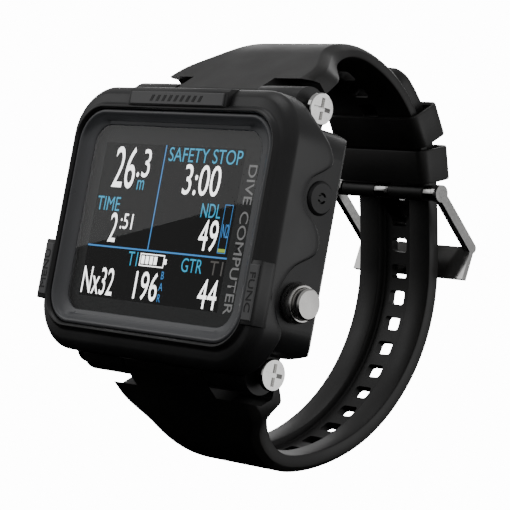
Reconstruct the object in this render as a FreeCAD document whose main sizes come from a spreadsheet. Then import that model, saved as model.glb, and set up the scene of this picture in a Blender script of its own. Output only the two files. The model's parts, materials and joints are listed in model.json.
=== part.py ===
"""Wrist dive computer: housing, display, electronics, buttons, rubber strap and tang buckle.

Frame: +X towards 3 o'clock, +Z towards 12 o'clock, the dial faces -Y. The origin is the centre of the
flat back face, so depths are measured from the back towards the dial and become negative Y. Millimetres.
"""
import FreeCAD
import Part
import math
import os

Vector = FreeCAD.Vector
Rotation = FreeCAD.Rotation
Placement = FreeCAD.Placement

os.makedirs("parts", exist_ok=True)
doc = FreeCAD.newDocument("dive_computer")
sheet = doc.addObject("Spreadsheet::Sheet", "sizes")

DIMENSIONS = {
    # front bumper
    "bumper_width": 70.0, "bumper_height": 57.6, "bumper_corner": 11.0, "bumper_chamfer": 2.1,
    "bumper_face_depth": 21.9, "bumper_rear_depth": 14.6, "bumper_side_depth": 8.2, "bumper_fit": 0.05,
    "lip_width": 64.0, "lip_height": 49.1, "lip_corner": 8.4, "lip_wall": 1.1, "lip_rise": 1.1,
    # grey bezel and glass
    "bezel_width": 61.3, "bezel_height": 46.7, "bezel_corner": 7.4, "bezel_face_depth": 22.4,
    "window_width": 53.0, "window_height": 40.2, "window_corner": 4.5, "bezel_slope": 1.4, "bezel_slope_run": 3.0,
    "bezel_groove": 0.1, "glass_face_depth": 20.9, "glass_thickness": 1.3, "glass_overlap": 0.8,
    "glass_fit": 0.15, "gasket_wall": 0.7, "gasket_thickness": 0.6,
    # rear case
    "shell_width": 66.9, "shell_height": 47.2, "shell_corner": 6.0, "shell_depth": 18.4,
    "cavity_width": 57.0, "cavity_height": 41.6, "cavity_corner": 4.0, "cavity_floor": 3.0,
    "cover_width": 56.0, "cover_height": 38.0, "cover_corner": 6.0, "cover_thickness": 1.8,
    "cover_opening_width": 49.0, "cover_opening_height": 31.0, "cover_opening_corner": 4.0,
    "cover_fit": 0.1, "back_gasket_thickness": 0.5, "back_side_slope": 4.9, "back_end_slope": 2.7, "back_slope_depth": 5.2,
    "cover_screw_inset": 3.0,
    # lugs, strap pins and strap screws
    "lug_depth": 9.8, "lug_height": 27.3, "lug_radius": 4.5, "lug_outer": 26.0, "lug_inner": 13.0,
    "lug_bore": 1.55, "lug_root": 2.6, "strap_pin_radius": 1.5, "strap_pin_bore": 1.0, "bay_radius": 4.7,
    "screw_head_radius": 3.3, "screw_head_rim": 0.9, "screw_neck_length": 2.8, "screw_neck_radius": 1.9,
    "screw_shank_radius": 0.95, "screw_shank_length": 9.0, "screw_slot_width": 0.9,
    "screw_slot_length": 4.6, "screw_slot_depth": 0.8,
    # buttons
    "button_depth": 11.2, "button_height": -12.5, "collar_radius": 4.1, "collar_front_radius": 3.75,
    "collar_seat": 33.2, "collar_front": 35.9, "collar_barrel_radius": 2.9, "collar_pocket_floor": 33.4,
    "cap_radius": 3.2, "cap_back": 34.9, "cap_face": 37.6, "cap_edge": 0.35, "cap_clearance": 0.08,
    "stem_radius": 1.2, "stem_end": 27.3, "spring_floor": 32.0, "spring_radius": 1.75, "spring_wire": 0.22,
    "spring_turns": 4.0, "clip_radius": 2.3, "clip_thickness": 0.4, "clip_place": 27.9,
    "seal_place": 30.7, "seal_radius": 1.6, "seal_cord": 0.38, "seal_groove": 1.2,
    "switch_size": 4.2, "switch_height": 1.7, "switch_place": 24.3, "plunger_radius": 0.9,
    "plunger_height": 0.2,
    # depth sensor port
    "sensor_depth": 9.6, "sensor_height": 9.1, "port_radius": 3.5, "port_face": 34.1, "port_seat": 31.6,
    "sensor_radius": 3.1, "sensor_front": 30.9, "sensor_back": 25.8, "port_seal_radius": 2.55,
    "port_seal_cord": 0.34, "arc_slot_radius": 0.9, "arc_slot_width": 0.5, "arc_slot_depth": 0.6,
    # display and electronics
    "active_shift_x": -1.9, "active_shift_z": -0.2, "panel_width": 47.2, "panel_height": 36.2,
    "panel_depth": 19.5, "panel_thickness": 1.6, "tray_width": 55.0, "tray_height": 39.2,
    "tray_depth": 17.8, "tray_length": 3.8, "tray_floor": 1.1, "tray_wall": 1.4,
    "board_width": 51.6, "board_height": 35.8, "board_depth": 15.2, "board_thickness": 1.0,
    "board_corner": 3.0, "board_screw_x": 23.0, "board_screw_z": 15.2, "board_screw_radius": 0.8,
    "boss_radius": 1.9, "battery_width": 36.0, "battery_height": 29.0, "battery_depth": 11.2,
    "battery_thickness": 5.2, "battery_x": -4.0, "battery_edge": 1.2, "pad_thickness": 0.9,
    "ferrite_thickness": 0.5, "coil_outer": 15.0, "coil_inner": 7.0, "coil_thickness": 0.9,
    "motor_radius": 2.2, "motor_length": 8.0, "motor_x": 20.4, "motor_depth": 8.4, "motor_low": -6.4,
    "motor_shaft_radius": 0.4, "weight_radius": 2.1, "weight_length": 2.8, "weight_gap": 0.5,
    "rod_radius": 1.4, "rod_length": 30.0, "winding_radius": 2.1, "winding_length": 20.0,
    "antenna_depth": 8.2, "antenna_height": 18.3, "flex_width": 12.0, "flex_thickness": 0.15,
    # label tabs
    "tab_proud": 0.2, "tab_inset": 0.8, "tab_breadth": 2.7, "side_tab_inner": 31.4, "side_tab_low": 18.0,
    "side_tab_high": 6.8, "top_tab_half": 14.7, "top_tab_inner": 24.5, "pad_slope": 1.1,
    # strap
    "loop_y": 12.86, "loop_z": 14.3, "wrap_y": 13.0, "wrap_z": -5.1, "tip_angle": 62.0,
    "join_angle": 20.0, "buckle_strap_radius": 32.15, "buckle_strap_thickness": 2.6,
    "layer_gap": 0.2, "hole_strap_radius": 36.15, "hole_strap_thickness": 3.8, "wrap_radius": 41.5,
    "turn_radius": 22.0, "top_inner_turn": 15.0, "low_inner_turn": 14.5, "top_turn_angle": 80.0,
    "low_turn_angle": 84.0, "strap_tube": 4.3,
    "strap_bore": 1.6, "wing_half": 22.3, "tail_half": 11.0, "buckle_end_half": 12.6,
    "block_half": 12.8, "slot_width": 4.7, "slot_length": 3.2, "slot_pitch": 6.0,
    "channel_half": 5.2, "channel_depth": 1.8, "strap_bevel": 1.2,
    # keepers
    "keeper_inner": 29.2, "keeper_outer": 36.35, "keeper_wall": 1.1, "keeper_length": 7.6,
    "keeper_half": 14.1, "keeper_slot_half": 12.8, "fixed_keeper_angle": 21.6,
    "sliding_keeper_angle": 37.6, "keeper_chamfer": 0.9,
    # buckle
    "pin_y": 42.9, "pin_z": 19.9, "buckle_pin_radius": 0.8, "buckle_fit": 0.06, "knuckle_radius": 1.75,
    "knuckle_inner": 13.0, "arm_inner": 15.4, "arm_outer": 17.2, "arm_breadth": 2.3, "bar_y": 56.0,
    "bar_z": 10.0, "bar_end_y": 54.9, "bar_end_z": 2.6, "bar_thickness": 1.3, "prong_half": 2.1,
    "prong_thickness": 1.2, "prong_room": 0.6, "prong_bend_y": 49.9, "prong_bend_z": 13.9, "prong_tip_y": 55.0,
    "prong_tip_z": 12.9,
}

for row, (alias, value) in enumerate(DIMENSIONS.items(), start=1):
    sheet.set("A%d" % row, alias)
    sheet.set("B%d" % row, "%g" % value)
    sheet.setAlias("B%d" % row, alias)
doc.recompute()

PARTS = []


def size(alias):
    """The value of one cell of the sheet."""
    return float(getattr(sheet, alias))


def cell(expression):
    """An expression with each known alias turned into a reference to the sheet."""
    words = expression.replace("(", " ( ").replace(")", " ) ").split()
    return " ".join("sizes." + word if word in DIMENSIONS else word for word in words)


def number(expression):
    """The present value of such an expression, for the first guess of a sketch."""
    return float(add_up(expression))


def add_up(expression):
    """Adds up a sum of products of aliases and numbers."""
    total = 0.0
    sign = 1.0
    product = None
    for word in expression.split():
        if word in ("+", "-"):
            total += sign * (product if product is not None else 0.0)
            sign = 1.0 if word == "+" else -1.0
            product = None
        elif word != "*":
            factor = size(word) if word in DIMENSIONS else float(word)
            product = factor if product is None else product * factor
    return total + sign * product


def finish(obj, label):
    """Names a finished sub-part and puts it on the list to be written."""
    obj.Label = label
    PARTS.append(obj)
    return obj


def plane(body, role):
    """One of a body's own origin planes."""
    return next(feature for feature in body.Origin.OriginFeatures if feature.Role == role)


def sketch_at_depth(body, name, depth, shift_x="0", shift_z="0"):
    """A sketch parallel to the dial, at a depth in front of the back face."""
    sketch = body.newObject("Sketcher::SketchObject", name)
    sketch.AttachmentSupport = (plane(body, "XZ_Plane"), "")
    sketch.MapMode = "FlatFace"
    sketch.setExpression("AttachmentOffset.Base.x", cell(shift_x))
    sketch.setExpression("AttachmentOffset.Base.y", cell(shift_z))
    sketch.setExpression("AttachmentOffset.Base.z", cell(depth))
    return sketch


def rounded_rectangle(sketch, width, height, corner):
    """Four lines and four tangent arcs about the sketch's origin, driven by the sheet."""
    import Sketcher

    half_w = number(width) / 2
    half_h = number(height) / 2
    radius = number(corner)
    in_w = half_w - radius
    in_h = half_h - radius
    first = sketch.GeometryCount
    lines = [
        ((-in_w, half_h), (in_w, half_h)),
        ((half_w, in_h), (half_w, -in_h)),
        ((in_w, -half_h), (-in_w, -half_h)),
        ((-half_w, -in_h), (-half_w, in_h)),
    ]
    for start, end in lines:
        sketch.addGeometry(Part.LineSegment(Vector(*start, 0), Vector(*end, 0)))
    corners = [(in_w, in_h, 0), (in_w, -in_h, 270), (-in_w, -in_h, 180), (-in_w, in_h, 90)]
    for centre_x, centre_y, angle in corners:
        circle = Part.Circle(Vector(centre_x, centre_y, 0), Vector(0, 0, 1), radius)
        sketch.addGeometry(Part.ArcOfCircle(circle, math.radians(angle), math.radians(angle + 90)))
    for side in range(4):
        line = first + side
        arc = first + 4 + side
        following = first + (side + 1) % 4
        sketch.addConstraint(Sketcher.Constraint("Tangent", line, 2, arc, 2))
        sketch.addConstraint(Sketcher.Constraint("Tangent", arc, 1, following, 1))
    for side in (0, 2):
        sketch.addConstraint(Sketcher.Constraint("Horizontal", first + side))
        sketch.addConstraint(Sketcher.Constraint("Vertical", first + side + 1))
    for arc in (5, 6, 7):
        sketch.addConstraint(Sketcher.Constraint("Equal", first + 4, first + arc))
    sketch.addConstraint(Sketcher.Constraint("Symmetric", first + 7, 3, first + 5, 3, -1, 1))
    driven = [
        (Sketcher.Constraint("Radius", first + 4, radius), corner),
        (Sketcher.Constraint("DistanceX", first + 3, 1, first + 1, 1, 2 * half_w), width),
        (Sketcher.Constraint("DistanceY", first + 2, 1, first, 1, 2 * half_h), height),
    ]
    for constraint, expression in driven:
        index = sketch.addConstraint(constraint)
        sketch.setExpression("Constraints[%d]" % index, cell(expression))


def pad(body, sketch, length, name="Pad"):
    """Material from a sketch towards the dial."""
    feature = body.newObject("PartDesign::Pad", name)
    feature.Profile = sketch
    feature.setExpression("Length", cell(length))
    return feature


def pocket(body, sketch, length, name="Pocket", towards_dial=False):
    """A recess from a sketch towards the back, or towards the dial."""
    feature = body.newObject("PartDesign::Pocket", name)
    feature.Profile = sketch
    feature.Reversed = towards_dial
    feature.setExpression("Length", cell(length))
    return feature


def new_body(label):
    return doc.addObject("PartDesign::Body", label + "_body")


def plate(label, width, height, corner, depth, length, shift_x="0", shift_z="0"):
    """A rounded plate whose back lies at a depth and which grows towards the dial."""
    body = new_body(label)
    sketch = sketch_at_depth(body, label + "_outline", depth, shift_x, shift_z)
    rounded_rectangle(sketch, width, height, corner)
    pad(body, sketch, length, label + "_block")
    return body


def frame_plate(label, width, height, corner, wall, depth, length):
    """A rounded plate with a rounded window, so a gasket or a rim."""
    body = plate(label, width, height, corner, depth, length)
    sketch = sketch_at_depth(body, label + "_window", depth)
    rounded_rectangle(sketch, "%s - 2 * %s" % (width, wall), "%s - 2 * %s" % (height, wall),
                      "%s - %s" % (corner, wall))
    pocket(body, sketch, length, label + "_pocket", towards_dial=True)
    return body


def place_along_x(start, y, z):
    """A placement that turns a primitive's own Z axis to +X."""
    return Placement(Vector(start, y, z), Rotation(Vector(0, 1, 0), 90))


def place_along_y(x, y, z):
    """A placement that turns a primitive's own Z axis to -Y, towards the dial."""
    return Placement(Vector(x, y, z), Rotation(Vector(1, 0, 0), 90))


def cylinder(name, radius, height, placement):
    """A cylinder whose radius and height follow the sheet."""
    obj = doc.addObject("Part::Cylinder", name)
    obj.setExpression("Radius", cell(radius))
    obj.setExpression("Height", cell(height))
    obj.Placement = placement
    return obj


def box(name, length_x, length_y, length_z, corner):
    """A box whose sides follow the sheet, from its lowest corner."""
    obj = doc.addObject("Part::Box", name)
    obj.setExpression("Length", cell(length_x))
    obj.setExpression("Width", cell(length_y))
    obj.setExpression("Height", cell(length_z))
    obj.Placement = Placement(Vector(*corner), Rotation())
    return obj


def torus(name, ring_radius, cord_radius, placement):
    obj = doc.addObject("Part::Torus", name)
    obj.setExpression("Radius1", cell(ring_radius))
    obj.setExpression("Radius2", cell(cord_radius))
    obj.Placement = placement
    return obj


def cut(name, base, tool):
    obj = doc.addObject("Part::Cut", name)
    obj.Base = base
    obj.Tool = tool
    return obj


def fuse(name, shapes):
    obj = doc.addObject("Part::MultiFuse", name)
    obj.Shapes = shapes
    return obj


def group(name, shapes):
    """Separate solids that stay separate in one node."""
    obj = doc.addObject("Part::Compound", name)
    obj.Links = shapes
    return obj


def mirror(name, source, normal):
    """The same piece on the other side of the case's middle."""
    obj = doc.addObject("Part::Mirroring", name)
    obj.Source = source
    obj.Base = Vector(0, 0, 0)
    obj.Normal = Vector(*normal)
    return obj


def shape_object(name, shape):
    """A piece made with Part's own functions from the sheet's values."""
    obj = doc.addObject("Part::Feature", name)
    obj.Shape = shape
    return obj


def flat_edges(shape, depth, half_width=1000.0, half_height=1000.0):
    """Numbers of the edges that lie wholly at one depth, inside a window about the middle."""
    numbers = []
    for index, edge in enumerate(shape.Edges, start=1):
        bound = edge.BoundBox
        flat = abs(bound.YMin + depth) < 1e-3 and abs(bound.YMax + depth) < 1e-3
        reach_x = max(abs(bound.XMin), abs(bound.XMax))
        reach_z = max(abs(bound.ZMin), abs(bound.ZMax))
        if flat and reach_x < half_width and reach_z < half_height:
            numbers.append(index)
    return numbers


def edge_names(numbers):
    return ["Edge%d" % index for index in numbers]


def bevel(body, name, numbers, distance):
    """A chamfer on some edges of a body's last feature."""
    base = body.Tip
    feature = body.newObject("PartDesign::Chamfer", name)
    feature.Base = (base, edge_names(numbers))
    feature.setExpression("Size", cell(distance))
    return feature


def turned_along_x(name, profile, y, z):
    """A turned piece: (x, radius) corners revolved about an axis parallel to X."""
    points = [Vector(x, y, z + radius) for x, radius in profile]
    points.append(points[0])
    face = Part.Face(Part.makePolygon(points))
    return shape_object(name, face.revolve(Vector(0, y, z), Vector(1, 0, 0), 360))


def prism_along_x(outline, half_width):
    """A closed outline of (y, z) corners or edges, as thick as twice the half width."""
    start = -half_width
    if isinstance(outline[0], tuple):
        points = [Vector(start, y, z) for y, z in outline]
        points.append(points[0])
        wire = Part.makePolygon(points)
    else:
        wire = Part.Wire(outline)
        wire.translate(Vector(start, 0, 0))
    return Part.Face(wire).extrude(Vector(2 * half_width, 0, 0))


def polar(centre, radius, degrees):
    """A point (y, z) at an angle about a centre, from +Y towards +Z."""
    angle = math.radians(degrees)
    return (centre[0] + radius * math.cos(angle), centre[1] + radius * math.sin(angle))


def at(point):
    """A (y, z) point in the middle plane of the case."""
    return Vector(0, point[0], point[1])


def arc(centre, radius, first, last):
    """An arc in the middle plane between two angles in degrees."""
    middle = (first + last) / 2
    points = [at(polar(centre, radius, angle)) for angle in (first, middle, last)]
    return Part.Arc(*points).toShape()


def line(first, last):
    return Part.LineSegment(at(first), at(last)).toShape()


# ------------------------------------------------------------------ rear case with its four lugs
rear_body = plate("rear_case", "shell_width", "shell_height", "shell_corner", "0", "shell_depth")
lug_y = -size("lug_depth")
lug_z = size("lug_height")


def lug_profile(side):
    """A lug from the side: a round nose about the strap pin, with a root that runs into the case."""
    radius = size("lug_radius")
    axis = (lug_y, side * lug_z)
    root = side * (size("shell_height") / 2 - size("lug_root"))
    front = (lug_y - radius, root)
    rear = (lug_y + radius, root)
    nose = Part.Arc(at((lug_y - radius, axis[1])), at((lug_y, axis[1] + side * radius)),
                    at((lug_y + radius, axis[1]))).toShape()
    return [line(front, (lug_y - radius, axis[1])), nose, line((lug_y + radius, axis[1]), rear),
            line(rear, front)]


lug_solids = []
for side in (1, -1):
    block = prism_along_x(lug_profile(side), size("lug_outer"))
    bay = Part.makeBox(2 * size("lug_inner"), 40, 12, Vector(-size("lug_inner"), lug_y - 20, -6))
    bay.translate(Vector(0, 0, side * (lug_z + 1.5)))
    bore = Part.makeCylinder(size("lug_bore"), 60, Vector(-30, lug_y, side * lug_z), Vector(1, 0, 0))
    lug_solids.append(block.cut(bay).cut(bore))
lugs = shape_object("lugs", Part.makeCompound(lug_solids))

cavity_sketch = sketch_at_depth(rear_body, "cavity_outline", "shell_depth")
rounded_rectangle(cavity_sketch, "cavity_width", "cavity_height", "cavity_corner")
pocket(rear_body, cavity_sketch, "shell_depth - cavity_floor", "cavity")
seat_sketch = sketch_at_depth(rear_body, "cover_seat_outline", "0")
rounded_rectangle(seat_sketch, "cover_width + 2 * cover_fit", "cover_height + 2 * cover_fit", "cover_corner")
pocket(rear_body, seat_sketch, "cover_thickness + back_gasket_thickness", "cover_seat", towards_dial=True)
opening_sketch = sketch_at_depth(rear_body, "cover_opening_outline", "0")
rounded_rectangle(opening_sketch, "cover_opening_width", "cover_opening_height", "cover_opening_corner")
pocket(rear_body, opening_sketch, "cavity_floor + 1", "cover_opening", towards_dial=True)

button_y = -size("button_depth")
button_z = size("button_height")
sensor_y = -size("sensor_depth")
sensor_z = size("sensor_height")
cover_screw_x = size("cover_width") / 2 - size("cover_screw_inset")
cover_screw_z = size("cover_height") / 2 - size("cover_screw_inset")


def case_bores():
    """Button bores on both sides, the sensor port, the strap bays and the cover screw holes."""
    tools = []
    for side in (1, -1):
        out = Vector(side, 0, 0)
        tools.append(Part.makeCylinder(size("collar_barrel_radius"), 12,
                                       Vector(side * 26, button_y, button_z), out))
        tools.append(Part.makeCylinder(size("collar_radius") + 0.2, 5,
                                       Vector(side * size("collar_seat"), button_y, button_z), out))
        tools.append(Part.makeCylinder(size("bay_radius"), 2 * size("lug_inner"),
                                       Vector(-size("lug_inner"), lug_y, side * lug_z), Vector(1, 0, 0)))
        for up in (1, -1):
            tools.append(Part.makeCylinder(0.85, 6, Vector(side * cover_screw_x, 0, up * cover_screw_z),
                                           Vector(0, -1, 0)))
    out = Vector(1, 0, 0)
    tools.append(Part.makeCylinder(size("sensor_radius") + 0.05, 9, Vector(26, sensor_y, sensor_z), out))
    tools.append(Part.makeCylinder(size("port_radius") + 0.05, 5,
                                   Vector(size("port_seat"), sensor_y, sensor_z), out))
    return Part.makeCompound(tools)


bores = shape_object("case_bores", case_bores())
doc.recompute()


def back_slopes():
    """Wedges that slope the back's four edges towards the back cover."""
    half_w = size("shell_width") / 2
    half_h = size("shell_height") / 2
    deep = -size("back_slope_depth")
    wedges = []
    for side in (1, -1):
        points = [Vector(side * half_w, deep, -40), Vector(side * (half_w - size("back_side_slope")), 0, -40),
                  Vector(side * (half_w + 5), 0, -40), Vector(side * (half_w + 5), deep, -40)]
        points.append(points[0])
        wedges.append(Part.Face(Part.makePolygon(points)).extrude(Vector(0, 0, 80)))
        points = [Vector(-40, deep, side * half_h), Vector(-40, 0, side * (half_h - size("back_end_slope"))),
                  Vector(-40, 0, side * (half_h + 5)), Vector(-40, deep, side * (half_h + 5))]
        points.append(points[0])
        wedges.append(Part.Face(Part.makePolygon(points)).extrude(Vector(80, 0, 0)))
    return Part.makeCompound(wedges)


sloped_back = cut("rear_case_sloped", rear_body, shape_object("back_slopes", back_slopes()))
rear_case = cut("rear_case_cut", fuse("rear_case_joined", [sloped_back, lugs]), bores)
finish(rear_case, "rear_case")

# ------------------------------------------------------------------ back cover
cover_body = plate("back_cover", "cover_width", "cover_height", "cover_corner", "0", "cover_thickness")


def countersunk_screw(x, z):
    """A cover screw: flat head flush with the back face, shank towards the dial."""
    head = Part.makeCone(1.5, 0.8, 0.8, Vector(x, -0.05, z), Vector(0, -1, 0))
    shank = Part.makeCylinder(0.8, 4.4, Vector(x, -0.8, z), Vector(0, -1, 0))
    socket = Part.makeBox(1.6, 0.5, 0.35, Vector(x - 0.8, -0.45, z - 0.175))
    cross = Part.makeBox(0.35, 0.5, 1.6, Vector(x - 0.175, -0.45, z - 0.8))
    return head.fuse(shank).cut(socket).cut(cross)


screw_places = [(sx * cover_screw_x, sz * cover_screw_z) for sx in (1, -1) for sz in (1, -1)]
screw_holes = []
for x, z in screw_places:
    screw_holes.append(Part.makeCone(1.6, 0.85, 0.85, Vector(x, 0, z), Vector(0, -1, 0)))
    screw_holes.append(Part.makeCylinder(0.85, 4, Vector(x, 0, z), Vector(0, -1, 0)))
cover_holes = shape_object("cover_holes", Part.makeCompound(screw_holes))
finish(cut("back_cover_cut", cover_body, cover_holes), "back_cover")
finish(shape_object("cover_screws", Part.makeCompound([countersunk_screw(x, z) for x, z in screw_places])),
       "back_cover_screws")
finish(frame_plate("back_gasket", "cover_opening_width + 2.6", "cover_opening_height + 2.6",
                   "cover_opening_corner + 1.3", "1.1", "cover_thickness", "back_gasket_thickness"),
       "back_gasket")

# ------------------------------------------------------------------ front bumper
bumper_body = plate("front_bumper", "bumper_width", "bumper_height", "bumper_corner", "bumper_side_depth",
                    "bumper_face_depth - bumper_side_depth")
doc.recompute()
front_edges = flat_edges(bumper_body.Shape, size("bumper_face_depth"))
bevel(bumper_body, "front_chamfer", front_edges, "bumper_chamfer")
lip_sketch = sketch_at_depth(bumper_body, "lip_outline", "bumper_face_depth")
rounded_rectangle(lip_sketch, "lip_width", "lip_height", "lip_corner")
pad(bumper_body, lip_sketch, "lip_rise", "lip")
doc.recompute()
lip_edges = flat_edges(bumper_body.Shape, size("bumper_face_depth") + size("lip_rise"))
bevel(bumper_body, "lip_chamfer", lip_edges, "lip_wall * 0.5")
opening = sketch_at_depth(bumper_body, "bezel_opening", "bumper_face_depth + 4")
rounded_rectangle(opening, "bezel_width + 2 * bezel_groove", "bezel_height + 2 * bezel_groove",
                  "bezel_corner + bezel_groove")
pocket(bumper_body, opening, "20", "bezel_opening_cut")
shell_pocket = sketch_at_depth(bumper_body, "shell_pocket_outline", "shell_depth")
rounded_rectangle(shell_pocket, "shell_width + 2 * bumper_fit", "shell_height + 2 * bumper_fit",
                  "shell_corner")
pocket(bumper_body, shell_pocket, "20", "shell_pocket")


def skirt_cutter():
    """What is cut from the bumper's rear edge: straight above and below, waved along both sides."""
    rear = -size("bumper_rear_depth")
    side_edge = -size("bumper_side_depth")
    scallop = size("port_radius") + 1.7
    recess = size("collar_radius") + 2.2
    wave = [
        (rear, 26.0),
        (rear + 1.4, 23.4),
        (rear + 4.6, 19.6),
        (side_edge - 0.4, sensor_z + 7.3),
        polar((sensor_y, sensor_z), scallop + 0.3, 100),
        polar((sensor_y, sensor_z), scallop, 140),
        polar((sensor_y, sensor_z), scallop, 180),
        polar((sensor_y, sensor_z), scallop, 220),
        polar((sensor_y, sensor_z), scallop + 0.4, 262),
        (side_edge - 0.5, 0.9),
        (side_edge - 0.8, -2.2),
        polar((button_y, button_z), recess + 1.2, 112),
        polar((button_y, button_z), recess, 145),
        polar((button_y, button_z), recess, 180),
        polar((button_y, button_z), recess, 215),
        polar((button_y, button_z), recess + 1.0, 245),
        (rear, -22.5),
        (rear, -26.0),
    ]
    curve = Part.BSplineCurve()
    curve.interpolate([at(point) for point in wave])
    top = wave[0][1]
    low = wave[-1][1]
    outer = [
        line(wave[-1], (rear, -40)),
        line((rear, -40), (5, -40)),
        line((5, -40), (5, 40)),
        line((5, 40), (rear, 40)),
        line((rear, 40), (rear, top)),
    ]
    wire = Part.Wire([curve.toShape()] + outer)
    wire.translate(Vector(-50, 0, 0))
    waved = Part.Face(wire).extrude(Vector(100, 0, 0))
    beside_lugs = size("lug_outer") + 1.2
    lug_room = Part.makeBox(2 * beside_lugs, 20, 80, Vector(-beside_lugs, rear, -40))
    return waved.fuse(lug_room)


bumper = cut("front_bumper_cut", bumper_body, shape_object("skirt_cutter", skirt_cutter()))


def block(low_x, high_x, low_z, high_z, rear_depth, front_depth):
    """A block between two depths in front of the back face."""
    return Part.makeBox(high_x - low_x, front_depth - rear_depth, high_z - low_z,
                        Vector(low_x, -front_depth, low_z))


def grown(place, margin):
    """A (low x, high x, low z, high z) rectangle made larger all round."""
    return (place[0] - margin, place[1] + margin, place[2] - margin, place[3] + margin)


side_low = size("side_tab_inner")
side_high = size("side_tab_inner") + size("tab_breadth")
top_low = size("top_tab_inner")
top_high = size("top_tab_inner") + size("tab_breadth")
TABS = {
    "top_label_tab": (-size("top_tab_half"), size("top_tab_half"), top_low, top_high),
    "menu_label_tab": (-side_high, -side_low, -size("side_tab_low"), -size("side_tab_high")),
    "function_label_tab": (side_low, side_high, -size("side_tab_low"), -size("side_tab_high")),
}
pad_face = size("bumper_face_depth") + size("lip_rise")
pad_root = size("bumper_face_depth") - 3.0
tab_root = pad_face - size("tab_inset")
tab_face = pad_face + size("tab_proud")


def tab_pads():
    """The raised pads on the bumper that carry the label tabs, bevelled down to the bumper's edge."""
    edge_x = size("bumper_width") / 2 - 0.05
    edge_z = size("bumper_height") / 2 - 0.05
    top = TABS["top_label_tab"]
    side = TABS["function_label_tab"]
    pads = [block(top[0] - 0.8, top[1] + 0.8, top_low - 0.3, edge_z, pad_root, pad_face),
            block(side_low - 0.3, edge_x, side[2] - 0.8, side[3] + 0.8, pad_root, pad_face),
            block(-edge_x, -side_low + 0.3, side[2] - 0.8, side[3] + 0.8, pad_root, pad_face)]
    slopes = [(0, 0, 1), (1, 0, 0), (-1, 0, 0)]
    finished = []
    for pad_block, direction in zip(pads, slopes):
        outward = Vector(*direction)
        edges = [pad_block.Edges[index - 1] for index in flat_edges(pad_block, pad_face)]
        reach = max(edge.BoundBox.Center.dot(outward) for edge in edges)
        outer = [edge for edge in edges if edge.BoundBox.Center.dot(outward) > reach - 1e-3]
        finished.append(pad_block.makeChamfer(size("pad_slope"), outer))
    return Part.makeCompound(finished)


pads = shape_object("tab_pads", tab_pads())
bumper_with_pads = fuse("front_bumper_joined", [bumper, pads])
notches = shape_object("tab_notches", Part.makeCompound(
    [block(*grown(place, 0.05), tab_root, tab_face + 3) for place in TABS.values()]))
finish(cut("front_bumper_notched", bumper_with_pads, notches), "front_bumper")
for tab_name, place in TABS.items():
    tab = block(*place, tab_root, tab_face)
    face_edges = [tab.Edges[index - 1] for index in flat_edges(tab, tab_face)]
    tab = tab.makeChamfer(0.15, face_edges)
    finish(shape_object(tab_name + "_solid", tab), tab_name)

# ------------------------------------------------------------------ bezel ring, glass and gasket
bezel = plate("bezel_ring", "bezel_width", "bezel_height", "bezel_corner", "shell_depth",
              "bezel_face_depth - shell_depth")
window = sketch_at_depth(bezel, "window_outline", "bezel_face_depth")
rounded_rectangle(window, "window_width", "window_height", "window_corner")
pocket(bezel, window, "10", "window_cut")
doc.recompute()
slope_edges = flat_edges(bezel.Shape, size("bezel_face_depth"), size("window_width") / 2 + 0.1,
                         size("window_height") / 2 + 0.1)
slope = bevel(bezel, "bezel_slope", slope_edges, "bezel_slope")
slope.ChamferType = "Two distances"
slope.setExpression("Size2", cell("bezel_slope_run"))
rebate = sketch_at_depth(bezel, "glass_rebate_outline", "shell_depth")
rounded_rectangle(rebate, "window_width + 2 * glass_overlap + 2 * glass_fit",
                  "window_height + 2 * glass_overlap + 2 * glass_fit", "window_corner + glass_overlap")
pocket(bezel, rebate, "glass_face_depth - shell_depth", "glass_rebate", towards_dial=True)
finish(bezel, "bezel_ring")

finish(plate("display_glass", "window_width + 2 * glass_overlap", "window_height + 2 * glass_overlap",
             "window_corner + glass_overlap", "glass_face_depth - glass_thickness", "glass_thickness"),
       "display_glass")
finish(frame_plate("glass_gasket", "window_width + 2 * glass_overlap", "window_height + 2 * glass_overlap",
                   "window_corner + glass_overlap", "gasket_wall",
                   "glass_face_depth - glass_thickness - gasket_thickness", "gasket_thickness"),
       "glass_gasket")

# ------------------------------------------------------------------ display panel, tray and board
finish(plate("display_panel", "panel_width", "panel_height", "0.6", "panel_depth - panel_thickness",
             "panel_thickness", "active_shift_x", "active_shift_z"), "display_panel")

tray = plate("display_tray", "tray_width", "tray_height", "3", "tray_depth - tray_length", "tray_length")
tray_room = sketch_at_depth(tray, "tray_room_outline", "tray_depth - tray_length")
rounded_rectangle(tray_room, "tray_width - 2 * tray_wall", "tray_height - 2 * tray_wall", "1.6")
pocket(tray, tray_room, "tray_length - tray_floor", "tray_room", towards_dial=True)
board_places = [(sx * size("board_screw_x"), sz * size("board_screw_z")) for sx in (1, -1) for sz in (1, -1)]
boss_height = size("tray_depth") - size("tray_floor") - size("board_depth")
bosses = []
for number_of_boss, (x, z) in enumerate(board_places):
    place = place_along_y(x, -size("board_depth"), z)
    bosses.append(cylinder("boss_%d" % number_of_boss, "boss_radius",
                           "tray_depth - tray_floor - board_depth", place))
pilot_holes = shape_object("pilot_holes", Part.makeCompound([
    Part.makeCylinder(size("board_screw_radius"), boss_height, Vector(x, -size("board_depth"), z),
                      Vector(0, -1, 0)) for x, z in board_places]))
finish(cut("display_tray_cut", fuse("display_tray_joined", [tray] + bosses), pilot_holes), "display_tray")

board = plate("main_board", "board_width", "board_height", "board_corner", "board_depth - board_thickness",
              "board_thickness")
board_holes = shape_object("board_holes", Part.makeCompound([
    Part.makeCylinder(0.9, 4, Vector(x, -size("board_depth") + 2, z), Vector(0, -1, 0))
    for x, z in board_places]))
finish(cut("main_board_cut", board, board_holes), "main_board")

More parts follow.
